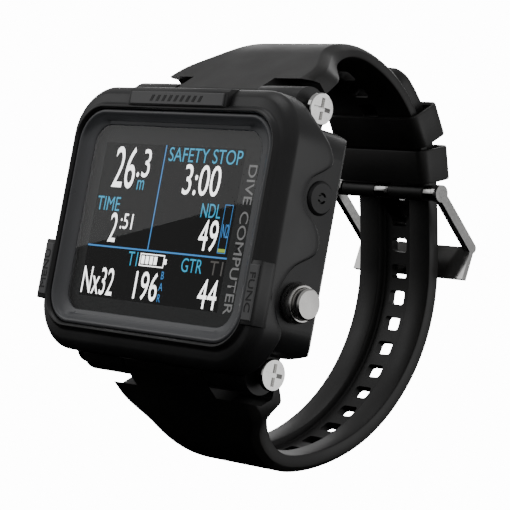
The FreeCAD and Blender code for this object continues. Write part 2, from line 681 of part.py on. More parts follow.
# Each component is its centre x and z, its width, height and thickness, and the side it sits on.
COMPONENTS = [
    (-13.0, 4.0, 9.0, 9.0, 1.2, -1), (1.0, 7.0, 6.0, 5.0, 0.9, -1), (10.0, 2.0, 4.0, 6.0, 1.0, -1),
    (-3.0, -7.0, 5.0, 4.0, 0.8, -1), (14.0, -9.0, 7.0, 3.0, 1.2, -1), (-15.0, -11.0, 3.0, 3.0, 1.0, -1),
    (17.0, 9.0, 8.0, 6.0, 1.2, 1), (-19.0, -13.0, 6.0, 2.4, 1.2, 1), (-2.0, -14.9, 11.0, 2.6, 1.0, 1),
    (12.0, -13.5, 4.0, 3.0, 0.9, 1), (-20.0, 10.0, 3.0, 5.0, 1.0, 1),
]
board_front = -size("board_depth")
board_back = board_front + size("board_thickness")
chips = []
for number_of_chip, (x, z, wide, high, thick, side) in enumerate(COMPONENTS):
    low_y = board_front - thick if side < 0 else board_back
    chips.append(box("chip_%d" % number_of_chip, "%g" % wide, "%g" % thick, "%g" % high,
                     (x - wide / 2, low_y, z - high / 2)))
finish(group("board_components_group", chips), "board_components")


def board_screw(x, z):
    head = Part.makeCylinder(1.4, 0.7, Vector(x, board_back + 0.7, z), Vector(0, -1, 0))
    shank = Part.makeCylinder(0.75, size("board_thickness") + boss_height - 0.2, Vector(x, board_back, z),
                              Vector(0, -1, 0))
    cross = Part.makeBox(1.6, 0.4, 0.35, Vector(x - 0.8, board_back + 0.3, z - 0.175))
    return head.fuse(shank).cut(cross)


finish(shape_object("board_screws_group", Part.makeCompound([board_screw(x, z) for x, z in board_places])),
       "board_screws")


def display_flex():
    """The ribbon from the panel's lower edge, round the tray, to the back of the board."""
    thick = size("flex_thickness")
    half = size("flex_width") / 2
    low = -size("tray_height") / 2 - 0.45
    front = -size("panel_depth") + 0.9
    rear = -(size("tray_depth") - size("tray_length")) + 0.05
    panel_edge = size("active_shift_z") - size("panel_height") / 2
    outline = [
        (front, panel_edge), (front, low), (rear + thick, low), (rear + thick, -size("board_height") / 2 + 1.4),
        (rear, -size("board_height") / 2 + 1.4), (rear, low + thick), (front + thick, low + thick),
        (front + thick, panel_edge),
    ]
    return prism_along_x(outline, half)


finish(shape_object("display_flex_solid", display_flex()), "display_flex")

# ------------------------------------------------------------------ battery, charging coil, antenna
finish(plate("battery", "battery_width", "battery_height", "battery_edge",
             "battery_depth - battery_thickness", "battery_thickness", "battery_x"), "battery")
finish(plate("battery_pad", "battery_width - 4", "battery_height - 4", "battery_edge", "battery_depth",
             "pad_thickness", "battery_x"), "battery_pad")
finish(plate("ferrite_sheet", "battery_width - 2", "battery_height - 2", "battery_edge",
             "battery_depth - battery_thickness - ferrite_thickness", "ferrite_thickness", "battery_x"),
       "ferrite_sheet")
coil_y = -(size("battery_depth") - size("battery_thickness") - size("ferrite_thickness"))
coil_back = coil_y + size("coil_thickness")
coil_place = place_along_y(size("battery_x"), coil_back, 0)
finish(cut("charging_coil_cut", cylinder("coil_disc", "coil_outer", "coil_thickness", coil_place),
           cylinder("coil_hole", "coil_inner", "coil_thickness", coil_place)), "charging_coil")

rod_place = place_along_x(size("battery_x") - size("rod_length") / 2, -size("antenna_depth"),
                          size("antenna_height"))
winding_place = place_along_x(size("battery_x") - size("winding_length") / 2, -size("antenna_depth"),
                              size("antenna_height"))
finish(cylinder("antenna_rod_solid", "rod_radius", "rod_length", rod_place), "antenna_rod")
finish(cut("antenna_winding_cut", cylinder("winding_solid", "winding_radius", "winding_length", winding_place),
           cylinder("winding_hole", "rod_radius + 0.02", "winding_length", winding_place)), "antenna_winding")

# ------------------------------------------------------------------ vibration motor
motor_centre = (size("motor_x"), -size("motor_depth"))
motor_base = Vector(*motor_centre, size("motor_low"))
motor_top = size("motor_low") + size("motor_length")
motor_can = cylinder("motor_can", "motor_radius", "motor_length", Placement(motor_base, Rotation()))
motor_shaft = cylinder("motor_shaft", "motor_shaft_radius", "weight_length + weight_gap",
                       Placement(Vector(*motor_centre, motor_top), Rotation()))
finish(fuse("vibration_motor_joined", [motor_can, motor_shaft]), "vibration_motor")
weight_place = Placement(Vector(*motor_centre, motor_top + size("weight_gap")), Rotation())
weight_disc = Part.makeCylinder(size("weight_radius"), size("weight_length"), weight_place.Base,
                                Vector(0, 0, 1), 180)
weight_hub = Part.makeCylinder(1.0, size("weight_length"), weight_place.Base, Vector(0, 0, 1))
weight_bore = Part.makeCylinder(size("motor_shaft_radius") + 0.05, size("weight_length"), weight_place.Base,
                                Vector(0, 0, 1))
finish(shape_object("motor_weight_solid", weight_disc.fuse(weight_hub).cut(weight_bore)), "motor_weight")

# ------------------------------------------------------------------ push buttons
stem_gap = size("stem_radius") + size("cap_clearance")
collar_profile = [
    (28.5, stem_gap), (28.5, size("collar_barrel_radius")), (size("collar_seat"), size("collar_barrel_radius")),
    (size("collar_seat"), size("collar_radius")), (size("collar_seat") + 1.5, size("collar_radius")),
    (size("collar_front"), size("collar_front_radius")),
    (size("collar_front"), size("cap_radius") + size("cap_clearance")),
    (size("collar_pocket_floor"), size("cap_radius") + size("cap_clearance")),
    (size("collar_pocket_floor"), 2.3), (size("spring_floor"), 2.3), (size("spring_floor"), stem_gap),
    (size("seal_place") + size("seal_groove") / 2, stem_gap),
    (size("seal_place") + size("seal_groove") / 2, size("seal_radius") + size("seal_cord")),
    (size("seal_place") - size("seal_groove") / 2, size("seal_radius") + size("seal_cord")),
    (size("seal_place") - size("seal_groove") / 2, stem_gap),
]
button_profile = [
    (size("stem_end"), 0.0), (size("stem_end"), size("stem_radius")),
    (size("clip_place"), size("stem_radius")), (size("clip_place"), size("stem_radius") - 0.3),
    (size("clip_place") + size("clip_thickness"), size("stem_radius") - 0.3),
    (size("clip_place") + size("clip_thickness"), size("stem_radius")),
    (size("cap_back"), size("stem_radius")), (size("cap_back"), size("cap_radius")),
    (size("cap_face") - size("cap_edge"), size("cap_radius")),
    (size("cap_face"), size("cap_radius") - size("cap_edge")), (size("cap_face"), 0.0),
]
collar = turned_along_x("function_collar_solid", collar_profile, button_y, button_z)
button = turned_along_x("function_button_solid", button_profile, button_y, button_z)
seal = torus("function_seal", "seal_radius", "seal_cord",
             place_along_x(size("seal_place"), button_y, button_z))
clip_bounds = [
    (size("clip_place"), size("stem_radius") - 0.3), (size("clip_place"), size("clip_radius")),
    (size("clip_place") + size("clip_thickness"), size("clip_radius")),
    (size("clip_place") + size("clip_thickness"), size("stem_radius") - 0.3),
]
clip_ring = turned_along_x("function_clip_ring", clip_bounds, button_y, button_z)
clip_gap = box("function_clip_gap", "2", "1.4", "3", (27.3, button_y - 0.7, button_z + 0.2))
clip = cut("function_clip_cut", clip_ring, clip_gap)
spring_length = size("cap_back") - size("spring_floor") - 2 * size("spring_wire")
coil_path = doc.addObject("Part::Helix", "function_spring_path")
coil_path.Pitch = spring_length / size("spring_turns")
coil_path.Height = spring_length
coil_path.setExpression("Radius", cell("spring_radius"))
coil_path.Placement = place_along_x(size("spring_floor") + size("spring_wire"), button_y, button_z)
doc.recompute()
path_start = coil_path.Shape.Vertexes[0].Point
coil_section = doc.addObject("Part::Circle", "function_spring_section")
coil_section.setExpression("Radius", cell("spring_wire"))
coil_section.Placement = Placement(path_start, Rotation(Vector(1, 0, 0), 90))
tangent = coil_path.Shape.Edges[0].tangentAt(coil_path.Shape.Edges[0].FirstParameter)
coil_section.Placement = Placement(path_start, Rotation(Vector(0, 0, 1), tangent))
spring = doc.addObject("Part::Sweep", "function_spring_sweep")
spring.Sections = [coil_section]
spring.Spine = coil_path
spring.Solid = True
spring.Frenet = True
switch_body = box("function_switch_body", "switch_height", "switch_size", "switch_size",
                  (size("switch_place"), button_y - size("switch_size") / 2, button_z - size("switch_size") / 2))
plunger = cylinder("function_plunger", "plunger_radius", "plunger_height",
                   place_along_x(size("switch_place") + size("switch_height"), button_y, button_z))
switch = fuse("function_switch_joined", [switch_body, plunger])
BUTTON_PIECES = {
    "button": button, "button_collar": collar, "button_seal": seal, "button_clip": clip,
    "button_spring": spring, "button_switch": switch,
}
for piece_name, piece in BUTTON_PIECES.items():
    finish(piece, "function_" + piece_name)
    if piece_name != "button_spring":
        finish(mirror("menu_" + piece_name + "_mirror", piece, (1, 0, 0)), "menu_" + piece_name)
doc.recompute()
moved_spring = spring.Shape.copy()
moved_spring.translate(Vector(-size("cap_back") - size("spring_floor"), 0, 0))
finish(shape_object("menu_button_spring_moved", moved_spring), "menu_button_spring")

# ------------------------------------------------------------------ depth sensor
port_cap_solid = Part.makeCylinder(size("port_radius"), size("port_face") - size("port_seat"),
                                   Vector(size("port_seat"), sensor_y, sensor_z), Vector(1, 0, 0))
port_rim = [edge for edge in port_cap_solid.Edges if abs(edge.BoundBox.XMin - size("port_face")) < 1e-3]
port_cap_solid = port_cap_solid.makeChamfer(0.5, port_rim)
slot_outer = size("arc_slot_radius") + size("arc_slot_width") / 2
slot_inner = size("arc_slot_radius") - size("arc_slot_width") / 2
slot_start = Vector(size("port_face") - size("arc_slot_depth"), sensor_y, sensor_z)
slot_ring = Part.makeCylinder(slot_outer, 2, slot_start, Vector(1, 0, 0))
slot_ring = slot_ring.cut(Part.makeCylinder(slot_inner, 2, slot_start, Vector(1, 0, 0)))
web = Part.makeBox(3, 4, 0.7, Vector(size("port_face") - 1, sensor_y - 2, sensor_z - 0.35))
slot_ring = slot_ring.cut(web)
finish(shape_object("sensor_port_cap_solid", port_cap_solid.cut(slot_ring)), "sensor_port_cap")
finish(cylinder("depth_sensor_solid", "sensor_radius", "sensor_front - sensor_back",
                place_along_x(size("sensor_back"), sensor_y, sensor_z)), "depth_sensor")
finish(torus("sensor_seal_ring", "port_seal_radius", "port_seal_cord",
             place_along_x(size("sensor_front") + size("port_seal_cord"), sensor_y, sensor_z)), "sensor_seal")

# ------------------------------------------------------------------ strap pins and strap screws
pin_length = 2 * size("lug_outer") - 0.2
upper_place = place_along_x(-pin_length / 2, lug_y, lug_z)
upper_pin = cut("upper_strap_pin_cut",
                cylinder("upper_pin_rod", "strap_pin_radius", "2 * lug_outer - 0.2", upper_place),
                cylinder("upper_pin_bore", "strap_pin_bore", "2 * lug_outer - 0.2", upper_place))
finish(upper_pin, "upper_strap_pin")
finish(mirror("lower_strap_pin_mirror", upper_pin, (0, 0, 1)), "lower_strap_pin")

head_back = size("lug_outer") + size("screw_neck_length")
head_face = head_back + size("screw_head_rim")
screw_profile = [
    (size("lug_outer") + 0.05 - size("screw_shank_length"), 0.0),
    (size("lug_outer") + 0.05 - size("screw_shank_length"), size("screw_shank_radius")),
    (size("lug_outer") + 0.05, size("screw_shank_radius")),
    (size("lug_outer") + 0.05, size("screw_neck_radius")),
    (head_back, size("screw_head_radius")), (head_face - 0.2, size("screw_head_radius")),
    (head_face, size("screw_head_radius") - 0.2), (head_face, 0.0),
]
turned_screw = turned_along_x("strap_screw_turned", screw_profile, lug_y, lug_z)
cross_slots = [
    Part.makeBox(2, size("screw_slot_length"), size("screw_slot_width"),
                 Vector(head_face - size("screw_slot_depth"), -size("screw_slot_length") / 2,
                        -size("screw_slot_width") / 2)),
    Part.makeBox(2, size("screw_slot_width"), size("screw_slot_length"),
                 Vector(head_face - size("screw_slot_depth"), -size("screw_slot_width") / 2,
                        -size("screw_slot_length") / 2)),
]
cross = cross_slots[0].fuse(cross_slots[1])
cross.translate(Vector(0, lug_y, lug_z))
first_screw = cut("strap_screw_cut", turned_screw, shape_object("strap_screw_cross", cross))
left_screw = mirror("strap_screw_left", first_screw, (1, 0, 0))
lower_screws = [mirror("strap_screw_lower_right", first_screw, (0, 0, 1)),
                mirror("strap_screw_lower_left", left_screw, (0, 0, 1))]
finish(group("strap_screws_group", [first_screw, left_screw] + lower_screws), "strap_screws")

# ------------------------------------------------------------------ the strap's two halves
loop = (size("loop_y"), size("loop_z"))
wrap = (size("wrap_y"), size("wrap_z"))
buckle_pin_place = (size("pin_y"), size("pin_z"))


def joining_arc(first_centre, first_radius, angle, second_centre, second_radius):
    """The arc that leaves one circle at an angle and runs smoothly into another.

    Gives its centre, its radius and the angle where it meets the second circle."""
    unit = (math.cos(math.radians(angle)), math.sin(math.radians(angle)))
    offset = (first_centre[0] - second_centre[0], first_centre[1] - second_centre[1])
    difference = first_radius - second_radius
    along = offset[0] * unit[0] + offset[1] * unit[1]
    grow = (offset[0] ** 2 + offset[1] ** 2 - difference ** 2) / (2 * (along + difference))
    centre = (first_centre[0] - grow * unit[0], first_centre[1] - grow * unit[1])
    meeting = math.degrees(math.atan2(second_centre[1] - centre[1], second_centre[0] - centre[0]))
    return centre, first_radius + grow, meeting


def tangent_angle(circle_centre, circle_radius, tube_centre, tube_radius, side):
    """The direction of the common normal of a tangent line that leaves both circles on one side."""
    v = (circle_centre[0] - tube_centre[0], circle_centre[1] - tube_centre[1])
    reach = math.hypot(*v)
    heading = math.degrees(math.atan2(v[1], v[0]))
    return heading + side * math.degrees(math.acos((tube_radius - circle_radius) / reach))


def strap_heel(side):
    """Where the strap's inner face ends behind the lugs. The lower half reaches further behind them."""
    return (lug_y + 6.6, lug_z + 3.6) if side > 0 else (lug_y + 9.4, -lug_z - 1.9)


def lug_end(outer_centre, outer_radius, inner_centre, inner_radius, side):
    """The strap's end at a lug: a tube about the strap pin and straight runs to the turn's two arcs.

    side is +1 at the top and -1 at the bottom. Gives the edges from the inner arc to the outer arc, and
    the angles where the two arcs end."""
    tube = (lug_y, side * lug_z)
    tube_radius = size("strap_tube")
    outer_angle = tangent_angle(outer_centre, outer_radius, tube, tube_radius, side)
    heel = strap_heel(side)
    v = (heel[0] - inner_centre[0], heel[1] - inner_centre[1])
    spread = math.degrees(math.acos(inner_radius / math.hypot(*v)))
    inner_angle = math.degrees(math.atan2(v[1], v[0])) - side * spread
    rear = side * 20
    front = outer_angle - side * 360
    edges = [
        line(polar(inner_centre, inner_radius, inner_angle), heel),
        line(heel, polar(tube, tube_radius, rear)),
        arc(tube, tube_radius, rear, -side * 80),
        arc(tube, tube_radius, -side * 80, -side * 180),
        arc(tube, tube_radius, -side * 180, front),
        line(polar(tube, tube_radius, outer_angle), polar(outer_centre, outer_radius, outer_angle)),
    ]
    return edges, inner_angle, outer_angle


def plan_cutters(stations, low_z, high_z):
    """Blocks that trim a strap's two sides, seen along Z. stations are (y, half width)."""
    far = 60
    cutters = []
    for side in (1, -1):
        points = [Vector(side * half, y, low_z) for y, half in stations]
        points += [Vector(side * far, stations[-1][0], low_z), Vector(side * far, stations[0][0], low_z)]
        points.append(points[0])
        cutters.append(Part.Face(Part.makePolygon(points)).extrude(Vector(0, 0, high_z - low_z)))
    return cutters


def slot_cutter(centre, radius, degrees, depth, width, length):
    """A straight-sided block through the strap at an angle about a centre."""
    block = Part.makeBox(width, depth, length, Vector(-width / 2, -depth / 2, -length / 2))
    block.rotate(Vector(0, 0, 0), Vector(1, 0, 0), degrees)
    y, z = polar(centre, radius, degrees)
    block.translate(Vector(0, y, z))
    return block


def lug_clearance(side):
    """What the strap leaves free beside its middle block for the two lugs."""
    cutters = []
    start = (lug_y + 5.1, side * (lug_z + 6.5))
    stop = (lug_y + 8.2, lug_z + 3.9) if side > 0 else (lug_y + 7.8, -lug_z - 4.6)
    for edge in (1, -1):
        inner = edge * size("block_half")
        outer = edge * 40
        outline = [start, stop, (stop[0] + (4 if side > 0 else 0), side * 14), (-40, side * 14),
                   (-40, start[1])]
        points = [Vector(inner, y, z) for y, z in outline]
        points.append(points[0])
        cutters.append(Part.Face(Part.makePolygon(points)).extrude(Vector(outer - inner, 0, 0)))
    return cutters


TOP_PLAN = [(-30, size("wing_half")), (-4.6, size("wing_half")), (-0.8, 18.6), (2.5, 15.9), (8, 14.0),
            (18, size("buckle_end_half")), (60, size("buckle_end_half"))]
LOW_PLAN = [(-30, size("wing_half")), (-4.6, size("wing_half")), (0.6, 17.4), (9.5, 14.0), (17, 12.2),
            (27, size("tail_half")), (60, size("tail_half"))]


def strip(first, last, thickness, half_width):
    """A flat strip between two (y, z) points, centred on the line between them."""
    length = math.hypot(last[0] - first[0], last[1] - first[1])
    degrees = math.degrees(math.atan2(last[1] - first[1], last[0] - first[0]))
    block = Part.makeBox(2 * half_width, length, thickness, Vector(-half_width, 0, -thickness / 2))
    block.rotate(Vector(0, 0, 0), Vector(1, 0, 0), degrees)
    block.translate(Vector(0, *first))
    return block


def prong_passage():
    """The room that the prong's blade takes as it leans through one slot of the tail."""
    bend = (size("prong_bend_y"), size("prong_bend_z"))
    tip = (size("prong_tip_y"), size("prong_tip_z"))
    room = size("prong_thickness") + 2 * size("prong_room")
    half = size("prong_half") + 0.25
    return strip(buckle_pin_place, bend, room, half).fuse(strip(bend, tip, room, half))


def buckle_strap():
    """The 12 o'clock half: lug tube, wings, a bend over the top and a tube about the buckle pin."""
    outer = size("buckle_strap_radius")
    thick = size("buckle_strap_thickness")
    turn = size("turn_radius")
    inner_turn = size("top_inner_turn")
    angle = size("top_turn_angle")
    start = math.degrees(math.atan2(buckle_pin_place[1] - loop[1], buckle_pin_place[0] - loop[0]))
    centre = polar(loop, outer - turn, angle)
    inner_centre = polar(loop, outer - thick - inner_turn, angle)
    end_edges, inner_angle, outer_angle = lug_end(centre, turn, inner_centre, inner_turn, 1)
    edges = [arc(loop, outer - thick, start, angle), arc(inner_centre, inner_turn, angle, inner_angle)]
    edges += end_edges
    edges += [arc(centre, turn, outer_angle, angle), arc(loop, outer, angle, start),
              line(polar(loop, outer, start), polar(loop, outer - thick, start))]
    solid = prism_along_x(Part.__sortEdges__(edges), size("wing_half"))
    tube = Part.makeCylinder(size("knuckle_radius") + 0.05, 2 * size("buckle_end_half"),
                             Vector(-size("buckle_end_half"), *buckle_pin_place), Vector(1, 0, 0))
    for cutter in plan_cutters(TOP_PLAN, 0, 60) + lug_clearance(1):
        solid = solid.cut(cutter)
    solid = solid.fuse(tube)
    bore = Part.makeCylinder(size("buckle_pin_radius") + size("buckle_fit"), 60,
                             Vector(-30, *buckle_pin_place), Vector(1, 0, 0))
    lug_bore = Part.makeCylinder(size("strap_bore"), 60, Vector(-30, lug_y, lug_z), Vector(1, 0, 0))
    prong_room = slot_cutter(buckle_pin_place, 0, start, 9, 2 * size("prong_half") + 0.4, 5.4)
    solid = solid.cut(bore).cut(lug_bore).cut(prong_room)
    step = math.degrees(size("slot_pitch") / outer)
    for index in range(3):
        solid = solid.cut(slot_cutter(loop, outer - 1, 68.7 - index * step, 8, size("slot_width"),
                                      size("slot_length")))
    return solid


def hole_strap():
    """The 6 o'clock half: lug tube, wings, the long wrap and the tail that runs through the keepers."""
    thick = size("hole_strap_thickness")
    tail = size("hole_strap_radius")
    wide = size("wrap_radius")
    turn = size("turn_radius")
    tip = size("tip_angle")
    join = size("join_angle")
    joint_centre, joint_radius, meeting = joining_arc(loop, tail, join, wrap, wide)
    inner_turn = size("low_inner_turn")
    low = -size("low_turn_angle")
    centre = polar(wrap, wide - turn, low)
    inner_centre = polar(wrap, wide - thick - inner_turn, low)
    end_edges, inner_angle, outer_angle = lug_end(centre, turn, inner_centre, inner_turn, -1)
    edges = []
    for depth in (0, thick):
        edges.append(arc(loop, tail - depth, tip, join))
        edges.append(arc(joint_centre, joint_radius - depth, join, meeting))
        edges.append(arc(wrap, wide - depth, meeting, low))
    edges.append(arc(centre, turn, low, outer_angle))
    edges.append(arc(inner_centre, inner_turn, low, inner_angle))
    edges.append(line(polar(loop, tail, tip), polar(loop, tail - thick, tip)))
    edges += end_edges
    solid = prism_along_x(Part.__sortEdges__(edges), size("wing_half"))
    lower = plan_cutters(LOW_PLAN, -60, 8)
    upper = plan_cutters([(-30, size("tail_half")), (70, size("tail_half"))], 7, 70)
    for cutter in lower + upper + lug_clearance(-1):
        solid = solid.cut(cutter)
    lug_bore = Part.makeCylinder(size("strap_bore"), 60, Vector(-30, lug_y, -lug_z), Vector(1, 0, 0))
    solid = solid.cut(lug_bore)
    spans = [(loop, tail, tip, join), (joint_centre, joint_radius, join, meeting), (wrap, wide, meeting, low)]
    for slot_place, radius, degrees in slot_stations(spans, thick):
        solid = solid.cut(slot_cutter(slot_place, radius - thick / 2, degrees, 9, size("slot_width"),
                                      size("slot_length")))
    solid = solid.cut(prong_passage())
    inner_depth = size("channel_depth")
    channel = []
    for channel_centre, radius, first, last in spans:
        if first == tip:
            first = tip - 9
        if last == low:
            last = low + 7
        inner = radius - thick
        ring = [arc(channel_centre, inner + inner_depth, first, last),
                line(polar(channel_centre, inner + inner_depth, last), polar(channel_centre, inner - 1, last)),
                arc(channel_centre, inner - 1, last, first),
                line(polar(channel_centre, inner - 1, first), polar(channel_centre, inner + inner_depth, first))]
        channel.append(prism_along_x(ring, size("channel_half") - 0.6))
    for piece in channel:
        solid = solid.cut(piece)
    return solid


def slot_stations(spans, thick):
    """Evenly spaced slot places along the tail: (centre, radius, angle) of each."""
    pitch = size("slot_pitch")
    anchor_z = 8.55
    anchor_centre, anchor_radius, anchor_first, anchor_last = spans[1]
    anchor = math.degrees(math.asin((anchor_z - anchor_centre[1]) / (anchor_radius - thick / 2)))
    lengths = [abs(last - first) * math.pi / 180 * (radius - thick / 2) for _, radius, first, last in spans]
    anchor_run = lengths[0] + (anchor_first - anchor) * math.pi / 180 * (anchor_radius - thick / 2)
    first_run = anchor_run % pitch
    while first_run < 10:
        first_run += pitch
    stations = []
    run = first_run
    end = sum(lengths) - 3
    while run < end:
        rest = run
        for (centre, radius, first, last), length in zip(spans, lengths):
            if rest <= length:
                degrees = first + (last - first) * rest / length
                stations.append((centre, radius, degrees))
                break
            rest -= length
        run += pitch
    return stations


finish(shape_object("buckle_strap_solid", buckle_strap()), "buckle_strap")
finish(shape_object("hole_strap_solid", hole_strap()), "hole_strap")


# ------------------------------------------------------------------ keepers
def keeper(degrees):
    """A rubber loop about both strap layers, square to them at its place on the loop."""
    low = size("keeper_inner") - size("keeper_wall")
    high = size("keeper_outer") + size("keeper_wall")
    wide = 2 * size("keeper_half")
    long = size("keeper_length")
    block = Part.makeBox(wide, high - low, long, Vector(-wide / 2, low, -long / 2))
    corner_edges = [edge for edge in block.Edges
                    if edge.Length > long - 1e-3 and edge.Length < long + 1e-3
                    and abs(edge.BoundBox.ZLength - long) < 1e-3]
    block = block.makeChamfer(size("keeper_chamfer"), corner_edges)
    room = Part.makeBox(2 * size("keeper_slot_half"), size("keeper_outer") - size("keeper_inner"), long + 2,
                        Vector(-size("keeper_slot_half"), size("keeper_inner"), -long / 2 - 1))
    block = block.cut(room)
    block.rotate(Vector(0, 0, 0), Vector(1, 0, 0), degrees)
    block.translate(Vector(0, *loop))
    return block


finish(shape_object("fixed_keeper_solid", keeper(size("fixed_keeper_angle"))), "fixed_keeper")
finish(shape_object("sliding_keeper_solid", keeper(size("sliding_keeper_angle"))), "sliding_keeper")


# ------------------------------------------------------------------ buckle
def buckle_frame():
    """Two arms with knuckles on the pin, and a wide bar bent across their ends."""
    corner = (size("bar_y"), size("bar_z"))
    end = (size("bar_end_y"), size("bar_end_z"))
    bar = strip(corner, end, size("bar_thickness"), size("arm_outer"))
    arms = strip(buckle_pin_place, corner, size("arm_breadth"), size("arm_outer"))
    heel = Part.makeCylinder(size("arm_breadth") / 2, 2 * size("arm_outer"),
                             Vector(-size("arm_outer"), *corner), Vector(1, 0, 0))
    between = Part.makeBox(2 * size("arm_inner"), 80, 80, Vector(-size("arm_inner"), 0, -20))
    arms = arms.fuse(heel).cut(between)
    bar_lip = strip((corner[0] - 0.4, corner[1] + 0.5), end, size("bar_thickness"), size("arm_outer"))
    solid = bar.fuse(arms)
    for side in (1, -1):
        inner = Vector(side * size("knuckle_inner"), *buckle_pin_place)
        solid = solid.fuse(Part.makeCylinder(size("knuckle_radius"), size("arm_outer") - size("knuckle_inner"),
                                             inner, Vector(side, 0, 0)))
        disc = Part.makeCylinder(size("knuckle_radius") + 0.2, size("arm_outer") - size("arm_inner"),
                                 Vector(side * size("arm_inner"), *buckle_pin_place), Vector(side, 0, 0))
        solid = solid.fuse(disc)
    bore = Part.makeCylinder(size("buckle_pin_radius") + 0.02, 60, Vector(-30, *buckle_pin_place),
                             Vector(1, 0, 0))
    return solid.cut(bore).removeSplitter()


def buckle_prong():
    """A barrel on the pin, a flat blade and a tip bent outwards through a slot of the tail."""
    bend = (size("prong_bend_y"), size("prong_bend_z"))
    tip = (size("prong_tip_y"), size("prong_tip_z"))
    half = size("prong_half")
    barrel = Part.makeCylinder(size("knuckle_radius"), 2 * half, Vector(-half, *buckle_pin_place),
                               Vector(1, 0, 0))
    blade = strip(buckle_pin_place, bend, size("prong_thickness"), half)
    elbow = Part.makeCylinder(size("prong_thickness") / 2, 2 * half, Vector(-half, *bend), Vector(1, 0, 0))
    point = strip(bend, tip, size("prong_thickness"), half)
    bore = Part.makeCylinder(size("buckle_pin_radius") + size("buckle_fit"), 10,
                             Vector(-5, *buckle_pin_place), Vector(1, 0, 0))
    return barrel.fuse(blade).fuse(elbow).fuse(point).cut(bore).removeSplitter()


finish(shape_object("buckle_frame_solid", buckle_frame()), "buckle_frame")
finish(shape_object("buckle_prong_solid", buckle_prong()), "buckle_prong")
finish(cylinder("buckle_pin_rod", "buckle_pin_radius", "2 * arm_outer",
                place_along_x(-size("arm_outer"), *buckle_pin_place)), "buckle_pin")

# ------------------------------------------------------------------ check and write
doc.recompute()
for obj in doc.Objects:
    bad = [state for state in obj.State if state in ("Invalid", "Error")]
    if bad:
        raise RuntimeError("%s did not build: %s" % (obj.Label, obj.State))
for obj in PARTS:
    if obj.Shape.isNull() or not obj.Shape.isValid():
        raise RuntimeError("%s has no valid shape" % obj.Label)
for obj in PARTS:
    obj.Shape.exportStep("parts/%s.step" % obj.Label)
    print("%-22s %9.1f mm3  %d solid(s)" % (obj.Label, obj.Shape.Volume, len(obj.Shape.Solids)))
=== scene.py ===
"""Looks of the wrist dive computer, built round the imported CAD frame.

Blender works in metres and in the CAD frame: +X towards 3 o'clock, +Z towards 12 o'clock, dial towards -Y.
Sizes below are in millimetres, as on the drawing, and MM turns them into metres.
"""

import json
import math

import bmesh
import bpy
from mathutils import Matrix, Vector


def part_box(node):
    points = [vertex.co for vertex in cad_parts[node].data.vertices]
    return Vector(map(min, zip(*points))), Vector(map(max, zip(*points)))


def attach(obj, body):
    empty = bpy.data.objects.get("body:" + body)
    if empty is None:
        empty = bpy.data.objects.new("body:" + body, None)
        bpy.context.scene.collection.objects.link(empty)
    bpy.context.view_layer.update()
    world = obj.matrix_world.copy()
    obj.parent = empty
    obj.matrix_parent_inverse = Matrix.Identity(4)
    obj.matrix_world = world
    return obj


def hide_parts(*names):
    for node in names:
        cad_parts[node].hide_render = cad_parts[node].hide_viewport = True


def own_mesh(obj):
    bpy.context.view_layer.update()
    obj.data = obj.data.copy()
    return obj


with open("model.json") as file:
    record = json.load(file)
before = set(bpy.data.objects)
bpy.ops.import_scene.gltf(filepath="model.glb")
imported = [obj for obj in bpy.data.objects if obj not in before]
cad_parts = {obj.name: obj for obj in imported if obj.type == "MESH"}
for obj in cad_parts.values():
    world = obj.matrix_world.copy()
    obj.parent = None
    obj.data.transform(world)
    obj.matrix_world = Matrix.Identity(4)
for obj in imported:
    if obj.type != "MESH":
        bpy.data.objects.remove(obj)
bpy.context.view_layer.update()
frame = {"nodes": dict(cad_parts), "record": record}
MM = 0.001
CASE = "case"


# ------------------------------------------------------------------ materials
def shader(name):
    """A new node material with its Principled shader."""
    material = bpy.data.materials.new(name)
    material.use_nodes = True
    return material, material.node_tree.nodes["Principled BSDF"]


def noise(tree, scale, detail=3.0, stretch=(1, 1, 1)):
    """Noise in object space, in features per metre."""
    place = tree.nodes.new("ShaderNodeTexCoord")
    mapping = tree.nodes.new("ShaderNodeMapping")
    mapping.inputs["Scale"].default_value = stretch
    texture = tree.nodes.new("ShaderNodeTexNoise")
    texture.inputs["Scale"].default_value = scale
    texture.inputs["Detail"].default_value = detail
    tree.links.new(place.outputs["Object"], mapping.inputs["Vector"])
    tree.links.new(mapping.outputs["Vector"], texture.inputs["Vector"])
    return texture.outputs["Fac"]


def spread(tree, source, low, high):
    """The source mapped from its usual spread to a range of values."""
    node = tree.nodes.new("ShaderNodeMapRange")
    node.inputs["From Min"].default_value = 0.3
    node.inputs["From Max"].default_value = 0.7
    node.inputs["To Min"].default_value = low
    node.inputs["To Max"].default_value = high
    tree.links.new(source, node.inputs["Value"])
    return node.outputs["Result"]


def between(tree, factor, first, second):
    """A colour between two, chosen by a factor."""
    node = tree.nodes.new("ShaderNodeMix")
    node.data_type = "RGBA"
    node.inputs[6].default_value = (*first, 1)
    node.inputs[7].default_value = (*second, 1)
    tree.links.new(factor, node.inputs[0])
    return node.outputs[2]


def bump(tree, bsdf, height, distance, strength):
    node = tree.nodes.new("ShaderNodeBump")
    node.inputs["Distance"].default_value = distance * MM
    node.inputs["Strength"].default_value = strength
    tree.links.new(height, node.inputs["Height"])
    tree.links.new(node.outputs["Normal"], bsdf.inputs["Normal"])


def edge_wear(tree):
    """1 on worn convex edges and 0 elsewhere, from the shape alone."""
    geometry = tree.nodes.new("ShaderNodeNewGeometry")
    ramp = tree.nodes.new("ShaderNodeMapRange")
    ramp.inputs["From Min"].default_value = 0.52
    ramp.inputs["From Max"].default_value = 0.62
    tree.links.new(geometry.outputs["Pointiness"], ramp.inputs["Value"])
    return ramp.outputs["Result"]


